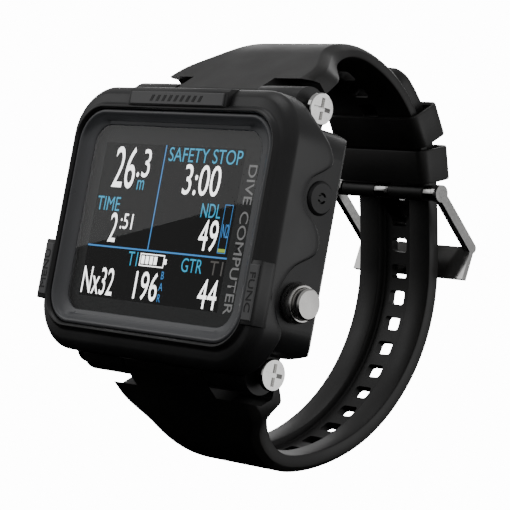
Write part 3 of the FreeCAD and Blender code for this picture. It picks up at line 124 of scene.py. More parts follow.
def moulded(name, colour, roughness, grain=2600.0, depth=0.012, variation=0.18, specular=0.5, coat=0.0):
    """Moulded plastic or rubber: a fine grain, cloudy gloss and slightly uneven colour."""
    material, bsdf = shader(name)
    tree = material.node_tree
    cloud = noise(tree, 90.0, 4.0)
    fine = noise(tree, grain, 2.0)
    dark = tuple(c * (1 - variation) for c in colour)
    light = tuple(c * (1 + variation) for c in colour)
    tree.links.new(between(tree, spread(tree, cloud, 0.0, 1.0), dark, light), bsdf.inputs["Base Color"])
    tree.links.new(spread(tree, cloud, roughness * 0.88, roughness * 1.12), bsdf.inputs["Roughness"])
    bsdf.inputs["Specular IOR Level"].default_value = specular
    bsdf.inputs["Coat Weight"].default_value = coat
    bump(tree, bsdf, fine, depth, 0.6)
    return material


def metal(name, colour, roughness, brushed=(1, 1, 1), grain=1500.0, depth=0.004, variation=0.08):
    """Metal with fine brushing along the axis that is stretched least."""
    material, bsdf = shader(name)
    tree = material.node_tree
    lines = noise(tree, grain, 4.0, brushed)
    cloud = noise(tree, 160.0, 3.0)
    dark = tuple(c * (1 - variation) for c in colour)
    light = tuple(min(1.0, c * (1 + variation)) for c in colour)
    tree.links.new(between(tree, spread(tree, cloud, 0.0, 1.0), dark, light), bsdf.inputs["Base Color"])
    tree.links.new(spread(tree, lines, roughness * 0.75, roughness * 1.3), bsdf.inputs["Roughness"])
    bsdf.inputs["Metallic"].default_value = 1.0
    bump(tree, bsdf, lines, depth, 0.5)
    return material


def glowing(name, colour, strength):
    """A lit part of the display: its pixel rows show as a fine change of brightness."""
    material, bsdf = shader(name)
    tree = material.node_tree
    rows = tree.nodes.new("ShaderNodeTexWave")
    rows.bands_direction = "Z"
    rows.inputs["Scale"].default_value = 2400.0
    place = tree.nodes.new("ShaderNodeTexCoord")
    tree.links.new(place.outputs["Object"], rows.inputs["Vector"])
    dim = tuple(c * 0.93 for c in colour)
    tree.links.new(between(tree, rows.outputs["Fac"], dim, colour), bsdf.inputs["Emission Color"])
    bsdf.inputs["Base Color"].default_value = (0, 0, 0, 1)
    bsdf.inputs["Emission Strength"].default_value = strength
    bsdf.inputs["Roughness"].default_value = 0.6
    return material


def clear_glass(name):
    """Hard cover glass: sight passes straight through and the front face reflects."""
    material = bpy.data.materials.new(name)
    material.use_nodes = True
    tree = material.node_tree
    tree.nodes.remove(tree.nodes["Principled BSDF"])
    output = tree.nodes["Material Output"]
    gloss = tree.nodes.new("ShaderNodeBsdfGlossy")
    smear = spread(tree, noise(tree, 60.0, 2.0), 0.004, 0.02)
    tree.links.new(smear, gloss.inputs["Roughness"])
    through = tree.nodes.new("ShaderNodeBsdfTransparent")
    fresnel = tree.nodes.new("ShaderNodeFresnel")
    fresnel.inputs["IOR"].default_value = 1.52
    front_only = tree.nodes.new("ShaderNodeMath")
    front_only.operation = "MULTIPLY_ADD"
    front_only.inputs[1].default_value = -1.0
    front_only.inputs[2].default_value = 1.0
    geometry = tree.nodes.new("ShaderNodeNewGeometry")
    tree.links.new(geometry.outputs["Backfacing"], front_only.inputs[0])
    share = tree.nodes.new("ShaderNodeMath")
    share.operation = "MULTIPLY"
    tree.links.new(fresnel.outputs["Fac"], share.inputs[0])
    tree.links.new(front_only.outputs["Value"], share.inputs[1])
    mix = tree.nodes.new("ShaderNodeMixShader")
    tree.links.new(share.outputs["Value"], mix.inputs["Fac"])
    tree.links.new(through.outputs["BSDF"], mix.inputs[1])
    tree.links.new(gloss.outputs["BSDF"], mix.inputs[2])
    tree.links.new(mix.outputs["Shader"], output.inputs["Surface"])
    return material


MATERIALS = {
    "case_black": moulded("case_black_plastic", (0.021, 0.021, 0.022), 0.42),
    "bumper_black": moulded("bumper_black_plastic", (0.027, 0.027, 0.028), 0.36, grain=2200.0),
    "bezel_grey": moulded("bezel_grey_plastic", (0.115, 0.118, 0.127), 0.3, variation=0.06, specular=0.7),
    "label_grey": moulded("label_grey_plastic", (0.16, 0.16, 0.163), 0.45, variation=0.08),
    "seal_rubber": moulded("seal_rubber_black", (0.02, 0.02, 0.02), 0.6),
    "display_black": moulded("display_black_glass", (0.0014, 0.0014, 0.0017), 0.85, depth=0.0, specular=0.0),
    "tray_plastic": moulded("tray_dark_plastic", (0.05, 0.05, 0.055), 0.55),
    "board_green": moulded("board_solder_mask", (0.01, 0.07, 0.03), 0.35),
    "chip_black": moulded("chip_epoxy", (0.015, 0.015, 0.016), 0.5),
    "flex_amber": moulded("flex_polyimide", (0.3, 0.12, 0.02), 0.3),
    "foam_grey": moulded("foam_pad", (0.09, 0.09, 0.095), 0.9, grain=900.0, depth=0.08),
    "strap_rubber": moulded("strap_black_rubber", (0.0205, 0.02, 0.0195), 0.44, grain=1900.0, depth=0.02),
    "steel_satin": metal("satin_steel", (0.6, 0.59, 0.575), 0.26, (1, 0.15, 0.15)),
    "steel_polished": metal("polished_steel", (0.66, 0.655, 0.645), 0.13, (0.2, 1, 1)),
    "battery_foil": metal("battery_foil", (0.5, 0.51, 0.53), 0.4),
    "ferrite_dark": moulded("ferrite_sintered", (0.03, 0.03, 0.032), 0.5),
    "copper_wire": metal("copper_windings", (0.7, 0.3, 0.13), 0.35, (1, 1, 0.1)),
    "glass_clear": clear_glass("cover_glass"),
}


def paint(obj, slot):
    """One material for a piece, chosen by the record slot that it stands for."""
    obj.data.materials.clear()
    obj.data.materials.append(MATERIALS[slot])
    return obj


def paint_frame():
    """Every CAD node takes the finish that its record slot names."""
    slots = {part["node"]: part["material_slot"] for part in frame["record"]["subparts"]}
    for name, node in frame["nodes"].items():
        node.data.materials.clear()
        node.data.materials.append(MATERIALS[slots[name]])


def soften(name, width, segments=3):
    """Rounded edges on a CAD node, by modifiers, so that its own mesh stays."""
    node = frame["nodes"][name]
    weld = node.modifiers.new("weld", "WELD")
    weld.merge_threshold = 1e-6
    bevel = node.modifiers.new("edges", "BEVEL")
    bevel.width = width * MM
    bevel.segments = segments
    bevel.limit_method = "ANGLE"
    bevel.angle_limit = math.radians(32)
    bevel.harden_normals = True


# ------------------------------------------------------------------ mesh helpers
def mesh_object(name, points, faces, body=CASE):
    """A mesh piece from points in millimetres."""
    mesh = bpy.data.meshes.new(name)
    mesh.from_pydata([Vector(point) * MM for point in points], [], faces)
    obj = bpy.data.objects.new(name, mesh)
    bpy.context.scene.collection.objects.link(obj)
    mend = bmesh.new()
    mend.from_mesh(mesh)
    bmesh.ops.recalc_face_normals(mend, faces=mend.faces)
    mend.to_mesh(mesh)
    mend.free()
    if body:
        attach(obj, body)
    return obj


def shade(obj, degrees=35.0):
    """Smooth faces that break at edges sharper than an angle."""
    mend = bmesh.new()
    mend.from_mesh(obj.data)
    for face in mend.faces:
        face.smooth = True
    limit = math.radians(degrees)
    for edge in mend.edges:
        edge.smooth = len(edge.link_faces) == 2 and edge.calc_face_angle(0.0) < limit
    mend.to_mesh(obj.data)
    mend.free()
    return obj


def loops_to_mesh(name, loops, body=CASE, closed=False, caps=False):
    """Joins loops of equal length with quads. closed joins the last loop to the first."""
    count = len(loops[0])
    points = [point for loop in loops for point in loop]
    faces = []
    pairs = len(loops) if closed else len(loops) - 1
    for k in range(pairs):
        here = k * count
        there = ((k + 1) % len(loops)) * count
        for i in range(count):
            j = (i + 1) % count
            faces.append((here + i, here + j, there + j, there + i))
    if caps:
        faces.append(tuple(range(count))[::-1])
        last = (len(loops) - 1) * count
        faces.append(tuple(range(last, last + count)))
    return mesh_object(name, points, faces, body)


def rounded_path(width, height, corner, corner_steps=10, wide_steps=8, high_steps=8):
    """Points round a rounded rectangle about the origin, always the same number for the same steps."""
    in_w = width / 2 - corner
    in_h = height / 2 - corner
    points = []
    centres = [(in_w, in_h, 0), (-in_w, in_h, 90), (-in_w, -in_h, 180), (in_w, -in_h, 270)]
    sides = [wide_steps, high_steps, wide_steps, high_steps]
    for index, (centre_x, centre_z, start) in enumerate(centres):
        for step in range(corner_steps + 1):
            angle = math.radians(start + 90 * step / corner_steps)
            points.append((centre_x + corner * math.cos(angle), centre_z + corner * math.sin(angle)))
        following = centres[(index + 1) % 4]
        end = math.radians(following[2])
        target = (following[0] + corner * math.cos(end), following[1] + corner * math.sin(end))
        origin = points[-1]
        for step in range(1, sides[index]):
            share = step / sides[index]
            points.append((origin[0] + (target[0] - origin[0]) * share,
                           origin[1] + (target[1] - origin[1]) * share))
    return points


def frame_loops(rings, steps=(10, 8, 8)):
    """Loops round the dial. Each ring is (width, height, corner, y) or has a function of (x, z) for y."""
    loops = []
    for width, height, corner, depth in rings:
        loop = []
        for x, z in rounded_path(width, height, corner, *steps):
            y = depth(x, z) if callable(depth) else depth
            loop.append((x, y, z))
        loops.append(loop)
    return loops


def smooth_curve(stations, where):
    """A value between stations of (place, value), along a cubic through them."""
    places = [station[0] for station in stations]
    values = [station[1] for station in stations]
    if where <= places[0]:
        return values[0]
    if where >= places[-1]:
        return values[-1]
    k = max(i for i, place in enumerate(places) if place <= where)
    slopes = []
    for i in (k, k + 1):
        low, high = max(i - 1, 0), min(i + 1, len(places) - 1)
        slopes.append((values[high] - values[low]) / (places[high] - places[low]))
    step = places[k + 1] - places[k]
    u = (where - places[k]) / step
    return ((2 * u**3 - 3 * u**2 + 1) * values[k] + (u**3 - 2 * u**2 + u) * step * slopes[0]
            + (3 * u**2 - 2 * u**3) * values[k + 1] + (u**3 - u**2) * step * slopes[1])


def cut_or_join(obj, tool, operation):
    """A boolean with another closed mesh, which is then removed."""
    modifier = obj.modifiers.new("boolean", "BOOLEAN")
    modifier.operation = operation
    modifier.solver = "MANIFOLD"
    modifier.object = tool
    depsgraph = bpy.context.evaluated_depsgraph_get()
    result = bpy.data.meshes.new_from_object(obj.evaluated_get(depsgraph))
    obj.modifiers.remove(modifier)
    old = obj.data
    obj.data = result
    bpy.data.meshes.remove(old)
    bpy.data.objects.remove(tool)
    return obj


def polar(centre, radius, degrees):
    angle = math.radians(degrees)
    return (centre[0] + radius * math.cos(angle), centre[1] + radius * math.sin(angle))


def rod(name, start_x, end_x, centre, radius, edge=0.0, steps=48):
    """A round bar along X with bevelled ends, about a centre (y, z)."""
    rings = [(start_x, radius - edge), (start_x + edge, radius), (end_x - edge, radius), (end_x, radius - edge)]
    loops = []
    for x, r in rings:
        loops.append([(x, *polar(centre, r, 360 * k / steps)) for k in range(steps)])
    return loops_to_mesh(name, loops, body=None, caps=True)


def prism(name, outline, low_x, high_x):
    """A closed prism along X from (y, z) corners."""
    loops = [[(x, y, z) for y, z in outline] for x in (low_x, high_x)]
    return loops_to_mesh(name, loops, body=None, caps=True)


# ------------------------------------------------------------------ front bumper
BUMPER = (70.0, 57.6, 11.0)
BUMPER_REAR = -14.6
LUG_SIDE = 27.2
PLUG = (-9.6, 9.1)
BUTTON = (-11.2, -12.5)


def skirt_wave():
    """The bumper's rear edge along each side: (height, depth) stations that go round plug and button."""
    plug = [polar(PLUG, reach, angle) for reach, angle in
            ((5.4, 258), (5.2, 220), (5.2, 180), (5.2, 140), (5.5, 100))]
    button = [polar(BUTTON, reach, angle) for reach, angle in
              ((7.3, 245), (6.3, 215), (6.3, 180), (6.3, 145), (7.5, 112))]
    points = [(-14.6, -26.0), (-14.6, -22.5)] + button + [(-9.0, -2.2), (-8.7, 0.9)] + plug
    points += [(-8.6, 16.4), (-10.0, 19.6), (-13.2, 23.4), (-14.6, 26.0)]
    return [(z, y) for y, z in points]


WAVE = skirt_wave()


def rear_edge(inset):
    """The depth of the bumper's rear edge, less an inset towards the dial."""
    def depth(x, z):
        if abs(x) < LUG_SIDE:
            return BUMPER_REAR - inset
        return smooth_curve(WAVE, z) - inset
    return depth


def shrunk(size, amount):
    """A rounded rectangle set in by an amount all round."""
    return (size[0] - 2 * amount, size[1] - 2 * amount, max(size[2] - amount, 0.5))


def bumper():
    lip = (64.0, 49.1, 8.4)
    opening = (61.5, 46.9, 7.5)
    shell = (67.1, 47.4, 6.1)
    rings = [
        (*shell, rear_edge(0.0)),
        (*shrunk(BUMPER, 0.75), rear_edge(0.0)),
        (*shrunk(BUMPER, 0.42), rear_edge(0.1)),
        (*shrunk(BUMPER, 0.14), rear_edge(0.4)),
        (*BUMPER, rear_edge(0.95)),
        (*BUMPER, rear_edge(1.8)),
        (*BUMPER, -19.2),
        (*shrunk(BUMPER, 0.1), -19.75),
        (*shrunk(BUMPER, 0.4), -20.3),
        (*shrunk(BUMPER, 1.0), -21.0),
        (*shrunk(BUMPER, 1.6), -21.55),
        (*shrunk(BUMPER, 2.2), -21.82),
        (*shrunk(lip, -0.55), -21.9),
        (*shrunk(lip, -0.2), -22.0),
        (*shrunk(lip, 0.05), -22.35),
        (*shrunk(lip, 0.22), -22.75),
        (*shrunk(lip, 0.5), -22.97),
        (*shrunk(lip, 0.75), -22.95),
        (*shrunk(lip, 1.0), -22.7),
        (*shrunk(opening, -0.02), -22.2),
        (*opening, -21.0),
        (*opening, -18.45),
        (*shell, -18.45),
        (*shell, rear_edge(0.6)),
    ]
    loops = frame_loops(rings, steps=(14, 16, 72))
    obj = loops_to_mesh("bumper_shell", loops, closed=True)
    shade(obj, 40)
    paint(obj, "bumper_black")
    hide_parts("front_bumper")
    return obj


def tab_pads():
    """Pads on the bumper's front edge, one behind each label tab, with a sloped outer side."""
    face, root = -22.9, -19.0
    low, high = (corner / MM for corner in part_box("top_label_tab"))
    top = BUMPER[1] / 2
    outline = [(root, low.z - 0.2), (face, low.z - 0.2), (face, high.z + 0.35), (face + 0.9, top - 0.45),
               (-20.2, top - 0.12), (root, top - 0.12)]
    ends = (low.x - 0.9, high.x + 0.9)
    pad_block("top_pad", [(x, y, z) for x in ends for y, z in outline])
    side = BUMPER[0] / 2
    for name, sign in (("function_label_tab", 1), ("menu_label_tab", -1)):
        low, high = (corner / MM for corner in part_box(name))
        inner, outer = (low.x, high.x) if sign > 0 else (-high.x, -low.x)
        outline = [(root, inner - 0.2), (face, inner - 0.2), (face, outer + 0.3), (face + 0.9, side - 0.45),
                   (-20.2, side - 0.06), (root, side - 0.06)]
        ends = (low.z - 0.9, high.z + 0.9)
        pad_block(name.replace("label_tab", "pad"), [(sign * x, y, z) for z in ends for y, x in outline])


def pad_block(name, points):
    """A closed prism from its two end outlines, with softened edges."""
    count = len(points) // 2
    faces = [tuple(range(count)), tuple(range(count, 2 * count))[::-1]]
    faces += [(i, (i + 1) % count, count + (i + 1) % count, count + i) for i in range(count)]
    obj = mesh_object(name, points, faces)
    mend = bmesh.new()
    mend.from_mesh(obj.data)
    bmesh.ops.bevel(mend, geom=mend.edges[:], offset=0.22 * MM, segments=2, affect="EDGES", profile=0.5)
    mend.to_mesh(obj.data)
    mend.free()
    shade(obj, 30)
    paint(obj, "bumper_black")


# ------------------------------------------------------------------ bezel ring and printed glass border
WINDOW = (53.0, 40.2, 4.5)
ACTIVE = (44.64, 33.48)
ACTIVE_CENTRE = (-1.9, -0.2)


def bezel():
    """The grey ring: a narrow crest, then a hollow slope down to the glass."""
    crest = (61.28, 46.68, 7.39)
    rings = [
        (*crest, -18.4),
        (*crest, -21.95),
        (*shrunk(crest, 0.08), -22.2),
        (*shrunk(crest, 0.28), -22.36),
        (*shrunk(crest, 0.6), -22.4),
        (*shrunk(crest, 0.9), -22.3),
        (*shrunk(crest, 1.15), -22.05),
        (*shrunk(crest, 1.6), -21.72),
        (*shrunk(crest, 2.3), -21.42),
        (*shrunk(WINDOW, -0.9), -21.2),
        (*shrunk(WINDOW, -0.25), -21.05),
        (*shrunk(WINDOW, -0.06), -20.99),
        (*WINDOW, -20.92),
        (*WINDOW, -20.9),
        (54.9, 42.1, 5.4, -20.9),
        (54.9, 42.1, 5.4, -18.4),
    ]
    obj = loops_to_mesh("bezel", frame_loops(rings, steps=(16, 6, 6)), closed=True)
    shade(obj, 50)
    paint(obj, "bezel_grey")
    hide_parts("bezel_ring")


def flat_rectangle(name, low_x, high_x, low_z, high_z, y, material):
    points = [(low_x, y, low_z), (high_x, y, low_z), (high_x, y, high_z), (low_x, y, high_z)]
    obj = mesh_object(name, points, [(0, 1, 2, 3)])
    obj.data.materials.append(material)
    return obj


def glass_border():
    """The grey print behind the glass, from its edge to the lit area."""
    outer = [(x, -19.59, z) for x, z in rounded_path(54.4, 41.6, 5.2, 8, 8, 8)]
    inner = []
    for x, _, z in outer:
        shift_x = min(max(x, ACTIVE_CENTRE[0] - ACTIVE[0] / 2), ACTIVE_CENTRE[0] + ACTIVE[0] / 2)
        shift_z = min(max(z, ACTIVE_CENTRE[1] - ACTIVE[1] / 2), ACTIVE_CENTRE[1] + ACTIVE[1] / 2)
        inner.append((shift_x, -19.59, shift_z))
    obj = loops_to_mesh("glass_border_print", [outer, inner])
    bmesh_clean(obj)
    obj.data.materials.append(moulded("border_grey_print", (0.058, 0.06, 0.06), 0.6, depth=0.0, variation=0.03, specular=0.0))


def bmesh_clean(obj):
    """Removes faces with no area and doubled points."""
    mend = bmesh.new()
    mend.from_mesh(obj.data)
    bmesh.ops.remove_doubles(mend, verts=mend.verts, dist=1e-7)
    bmesh.ops.dissolve_degenerate(mend, dist=1e-7, edges=mend.edges)
    mend.to_mesh(obj.data)
    mend.free()


# ------------------------------------------------------------------ display
SCREEN_Y = -19.56
WHITE = glowing("display_white", (1.0, 1.0, 1.0), 3.0)
CYAN = glowing("display_cyan", (0.02, 0.45, 0.75), 1.0)
BLUE = glowing("display_blue", (0.05, 0.3, 0.75), 1.0)
LIME = glowing("display_lime", (0.35, 0.5, 0.05), 1.0)
DIM = glowing("display_dim", (0.08, 0.075, 0.07), 1.0)


def lettering(name, words, box, y, material, weight=0.0, turn=0, depth=0.0, body=CASE, shear=0.0):
    """Words fitted into a box (low x, high x, low z, high z). turn is 0, 90 or -90 degrees."""
    curve = bpy.data.curves.new(name, "FONT")
    curve.body = words
    curve.offset = weight
    curve.shear = shear
    curve.resolution_u = 6
    source = bpy.data.objects.new(name + "_source", curve)
    bpy.context.scene.collection.objects.link(source)
    bpy.context.view_layer.update()
    mesh = bpy.data.meshes.new_from_object(source.evaluated_get(bpy.context.evaluated_depsgraph_get()))
    bpy.data.objects.remove(source)
    mend = bmesh.new()
    mend.from_mesh(mesh)
    bmesh.ops.remove_doubles(mend, verts=mend.verts, dist=1e-5)
    mend.to_mesh(mesh)
    mend.free()
    mesh.transform(Matrix.Rotation(math.radians(turn), 4, "Z"))
    xs = [vertex.co.x for vertex in mesh.vertices]
    zs = [vertex.co.y for vertex in mesh.vertices]
    scale_x = (box[1] - box[0]) / (max(xs) - min(xs))
    scale_z = (box[3] - box[2]) / (max(zs) - min(zs))
    low_x, low_z = min(xs), min(zs)
    for vertex in mesh.vertices:
        x = box[0] + (vertex.co.x - low_x) * scale_x
        z = box[2] + (vertex.co.y - low_z) * scale_z
        vertex.co = Vector((x, y, z)) * MM
    obj = bpy.data.objects.new(name, mesh)
    bpy.context.scene.collection.objects.link(obj)
    mesh.materials.clear()
    mesh.materials.append(material)
    if depth:
        mend = bmesh.new()
        mend.from_mesh(mesh)
        grown = bmesh.ops.extrude_face_region(mend, geom=mend.faces[:])
        moved = [item for item in grown["geom"] if isinstance(item, bmesh.types.BMVert)]
        bmesh.ops.translate(mend, verts=moved, vec=(0, -depth * MM, 0))
        bmesh.ops.recalc_face_normals(mend, faces=mend.faces)
        mend.to_mesh(mesh)
        mend.free()
    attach(obj, body)
    return obj


def on_screen(low_x, high_x, low_z, high_z):
    """A box on the lit area, from its centre, as a box on the case."""
    dx, dz = ACTIVE_CENTRE
    return (low_x + dx, high_x + dx, low_z + dz, high_z + dz)


# Name, words, low x, high x, low z, high z from the lit area's centre, material and stroke weight.
READINGS = [
    ("depth_value", "26", -18.3, -11.2, 7.0, 16.0, WHITE, 0.0),
    ("depth_tenths", ".3", -10.6, -6.7, 9.6, 15.7, WHITE, 0.0),
    ("depth_unit", "m", -9.8, -7.6, 6.9, 9.0, CYAN, 0.0),
    ("time_word", "TIME", -21.8, -14.2, 2.0, 5.0, CYAN, 0.0),
    ("time_minutes", "2", -16.2, -13.8, -4.7, 1.6, WHITE, 0.0),
    ("time_seconds", ":51", -12.9, -9.0, -1.7, 1.6, WHITE, 0.0),
    ("stop_word", "SAFETY STOP", -1.2, 21.6, 13.4, 16.4, CYAN, 0.0),
    ("stop_value", "3:00", 4.9, 16.2, 6.6, 13.0, WHITE, 0.0),
    ("limit_word", "NDL", 12.0, 18.0, 2.2, 5.1, CYAN, 0.0),
    ("limit_value", "49", 12.7, 18.3, -4.7, 1.8, WHITE, 0.0),
    ("bar_word", "N2", 19.4, 21.3, -1.6, 1.2, BLUE, 0.0),
    ("tank_word", "T1", -8.2, -5.2, -9.3, -6.3, CYAN, 0.0),
    ("gas_value", "Nx32", -22.0, -11.6, -16.2, -10.3, WHITE, 0.0),
    ("pressure_value", "196", -4.6, 2.8, -16.2, -10.2, WHITE, 0.0),
    ("pressure_unit", "B\nA\nR", 3.2, 4.4, -16.2, -9.8, BLUE, 0.0),
    ("remaining_word", "GTR", 9.0, 15.4, -9.4, -6.5, CYAN, 0.0),
    ("remaining_tank", "T1", 17.7, 21.6, -9.4, -6.5, DIM, 0.0),
    ("remaining_value", "44", 15.6, 21.3, -16.4, -10.3, WHITE, 0.0),
]


def display():
    for name, words, low_x, high_x, low_z, high_z, material, weight in READINGS:
        lettering(name, words, on_screen(low_x, high_x, low_z, high_z), SCREEN_Y, material, weight)
    half_w, half_h = ACTIVE[0] / 2, ACTIVE[1] / 2
    lines = {
        "divider_upright": (-2.66, -2.34, -5.75, half_h),
        "divider_level": (-half_w, half_w, -5.92, -5.58),
        "bar_left": (19.0, 19.15, -4.7, 5.2),
        "bar_right": (21.35, 21.5, -4.7, 5.2),
        "bar_top": (19.0, 21.5, 5.05, 5.2),
        "bar_foot": (19.0, 21.5, -4.85, -4.7),
    }
    for name, place in lines.items():
        flat_rectangle("line_" + name, *on_screen(*place), SCREEN_Y, BLUE)
    flat_rectangle("bar_level", *on_screen(19.15, 21.35, -4.6, -3.9), SCREEN_Y, LIME)
    battery_icon()


def battery_icon():
    """A small battery outline with four lit bars."""
    low_x, high_x, low_z, high_z = on_screen(-4.4, 3.4, -9.1, -6.4)
    edge = 0.22
    strokes = {
        "low": (low_x, high_x, low_z, low_z + edge),
        "high": (low_x, high_x, high_z - edge, high_z),
        "left": (low_x, low_x + edge, low_z, high_z),
        "right": (high_x - edge, high_x, low_z, high_z),
        "nub": (high_x, high_x + 0.8, low_z + 0.8, high_z - 0.8),
    }
    for name, place in strokes.items():
        flat_rectangle("battery_icon_" + name, *place, SCREEN_Y, WHITE)
    for index in range(4):
        start = low_x + 0.5 + 1.35 * index
        flat_rectangle("battery_icon_bar_%d" % index, start, start + 1.0, low_z + 0.5, high_z - 0.5, SCREEN_Y,
                       WHITE)


def printed_words():
    """Generic words on the border print and on the two side tabs, and plain slanted bars on the top tab."""
    pale = moulded("print_pale_grey", (0.75, 0.75, 0.75), 0.6, depth=0.0, variation=0.03, specular=0.0)
    lettering("border_words", "DIVE COMPUTER", (22.1, 24.6, -17.2, 13.4), -19.595, pale, 0.006, turn=-90)
    dark = moulded("print_dark_grey", (0.018, 0.018, 0.019), 0.5)
    low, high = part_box("function_label_tab")
    low, high = low / MM, high / MM
    lettering("function_words", "FUNC", (low.x + 0.55, high.x - 0.55, low.z + 1.6, high.z - 1.6), low.y - 0.01,
              dark, 0.0, turn=-90, depth=0.06)
    low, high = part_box("menu_label_tab")
    low, high = low / MM, high / MM
    lettering("menu_words", "MENU", (low.x + 0.55, high.x - 0.55, low.z + 1.4, high.z - 1.4), low.y - 0.01,
              dark, 0.0, turn=90, depth=0.06)
    low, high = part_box("top_label_tab")
    low, high = low / MM, high / MM
    bars = 9
    pitch = 1.9
    for index in range(bars):
        x = (index - (bars - 1) / 2) * pitch
        outline = [(x - 0.75, low.z + 0.7), (x + 0.05, low.z + 0.7), (x + 0.75, high.z - 0.7),
                   (x - 0.05, high.z - 0.7)]
        points = [(px, low.y - 0.05, pz) for px, pz in outline] + [(px, low.y + 0.1, pz) for px, pz in outline]
        faces = [(0, 1, 2, 3), (7, 6, 5, 4), (0, 4, 5, 1), (1, 5, 6, 2), (2, 6, 7, 3), (3, 7, 4, 0)]
        bar = mesh_object("top_tab_bar_%d" % index, points, faces)
        bar.data.materials.append(dark)


# ------------------------------------------------------------------ strap
LOOP = (12.86, 14.3)
WRAP = (13.0, -5.1)
PIN = (42.9, 19.9)
LUG = (-9.8, 27.3)
STRAP_TUBE = 4.3
BLOCK_HALF = 12.75
TOP_PLAN = [(-14.0, 22.3), (-8.0, 22.3), (-4.6, 21.7), (-0.8, 18.6), (2.5, 15.9), (8.0, 14.0), (13, 13.0),
            (18.0, 12.6), (30.0, 12.6)]
LOW_PLAN = [(-14.0, 22.3), (-8.0, 22.3), (-4.6, 21.7), (0.6, 17.4), (9.5, 14.0), (17.0, 12.2), (27.0, 11.0),
            (40.0, 11.0)]


def joining_arc(first_centre, first_radius, angle, second_centre, second_radius):
    """The arc that leaves one circle at an angle and runs smoothly into another."""
    unit = (math.cos(math.radians(angle)), math.sin(math.radians(angle)))
    offset = (first_centre[0] - second_centre[0], first_centre[1] - second_centre[1])
    difference = first_radius - second_radius
    along = offset[0] * unit[0] + offset[1] * unit[1]
    grow = (offset[0] ** 2 + offset[1] ** 2 - difference ** 2) / (2 * (along + difference))
    centre = (first_centre[0] - grow * unit[0], first_centre[1] - grow * unit[1])
    meeting = math.degrees(math.atan2(second_centre[1] - centre[1], second_centre[0] - centre[0]))
    return centre, first_radius + grow, meeting


# Where the strap's inner face ends behind the lugs: at the top (1) and at the bottom (-1).
HEELS = {1: (LUG[0] + 6.6, LUG[1] + 3.6), -1: (LUG[0] + 9.4, -LUG[1] - 1.9)}


def lug_run(outer_centre, outer_radius, inner_centre, inner_radius, start, side):
    """The strap's last stretch: a turn towards the lug, then straight to the tube about the strap pin."""
    tube = (LUG[0], side * LUG[1])
    v = (outer_centre[0] - tube[0], outer_centre[1] - tube[1])
    normal = math.degrees(math.atan2(v[1], v[0]))
    normal += side * math.degrees(math.acos((STRAP_TUBE - outer_radius) / math.hypot(*v)))
    heel = HEELS[side]
    v = (heel[0] - inner_centre[0], heel[1] - inner_centre[1])
    touch = math.degrees(math.atan2(v[1], v[0])) - side * math.degrees(math.acos(inner_radius / math.hypot(*v)))
    pairs = []
    turn_steps = 24
    for k in range(1, turn_steps + 1):
        share = k / turn_steps
        pairs.append((polar(outer_centre, outer_radius, start + (normal - start) * share),
                      polar(inner_centre, inner_radius, start + (touch - start) * share)))
    end_outer = polar(tube, STRAP_TUBE, normal)
    last_outer, last_inner = pairs[-1]
    straight_steps = 14
    for k in range(1, straight_steps + 1):
        share = k / straight_steps
        pairs.append((mix_points(last_outer, end_outer, share), mix_points(last_inner, heel, share)))
    return pairs, heel, tube, normal


def mix_points(first, second, share):
    return (first[0] + (second[0] - first[0]) * share, first[1] + (second[1] - first[1]) * share)


def strap_section(outer, inner, half, bevel, channel=0.0, channel_half=4.6):
    """One cross-section of a strap, all sections with the same number of points."""
    thick = math.dist(outer, inner)
    bevel = min(bevel, thick * 0.55)
    foot = 0.35
    side = [(half - bevel - 0.6, 0.0), (half - bevel - 0.1, 0.01), (half - bevel + 0.06, 0.09),
            (half - 0.06, bevel - 0.1), (half, bevel + 0.1), (half, thick - foot),
            (half - 0.12, thick - 0.12), (half - foot, thick)]
    groove = [(channel_half + 0.7, thick), (channel_half + 0.25, thick - 0.1 * channel),
              (channel_half, thick - 0.35 * channel), (channel_half - 0.15, thick - 0.85 * channel),
              (channel_half - 0.5, thick - channel)]
    half_loop = side + groove
    profile = half_loop + [(-x, depth) for x, depth in reversed(half_loop)]
    loop = []
    for x, depth in profile:
        y, z = mix_points(outer, inner, depth / thick)
        loop.append((x, y, z))
    return loop


def strap_body(name, pairs, plan, bevels, channel_span=None, tip=0.0):
    """A closed strap from (outer, inner) station pairs. The tip rounds off over its last millimetres."""
    lengths = [0.0]
    for before, after in zip(pairs, pairs[1:]):
        lengths.append(lengths[-1] + math.dist(before[0], after[0]))
    loops = []
    for (outer, inner), run in zip(pairs, lengths):
        half = smooth_curve(plan, outer[0])
        bevel = smooth_curve(bevels, outer[0])
        channel = 0.0
        if channel_span:
            fade = min((run - channel_span[0]) / 2.5, (channel_span[1] - run) / 4.0)
            channel = 1.8 * max(0.0, min(1.0, fade))
        if tip and run < tip:
            share = math.sqrt(max(0.0, 1 - (1 - run / tip) ** 2))
            half -= 3.2 * (1 - share)
            thick = math.dist(outer, inner)
            inner_share = 0.5 * (0.45 + 0.55 * share)
            middle = mix_points(outer, inner, 0.5)
            outer, inner = (mix_points(middle, outer, 2 * inner_share), mix_points(middle, inner, 2 * inner_share))
        loops.append(strap_section(outer, inner, half, bevel, channel))
    return loops_to_mesh(name, loops, body=None, caps=True), lengths


def lug_block(name, heel, tube, normal, side):
    """The strap's middle block: a wedge from the heel and the front edge down to the tube."""
    outline = [polar(tube, STRAP_TUBE - 0.02, normal), heel, polar(tube, STRAP_TUBE - 0.02, side * 20), tube]
    return prism(name, outline, -BLOCK_HALF, BLOCK_HALF)


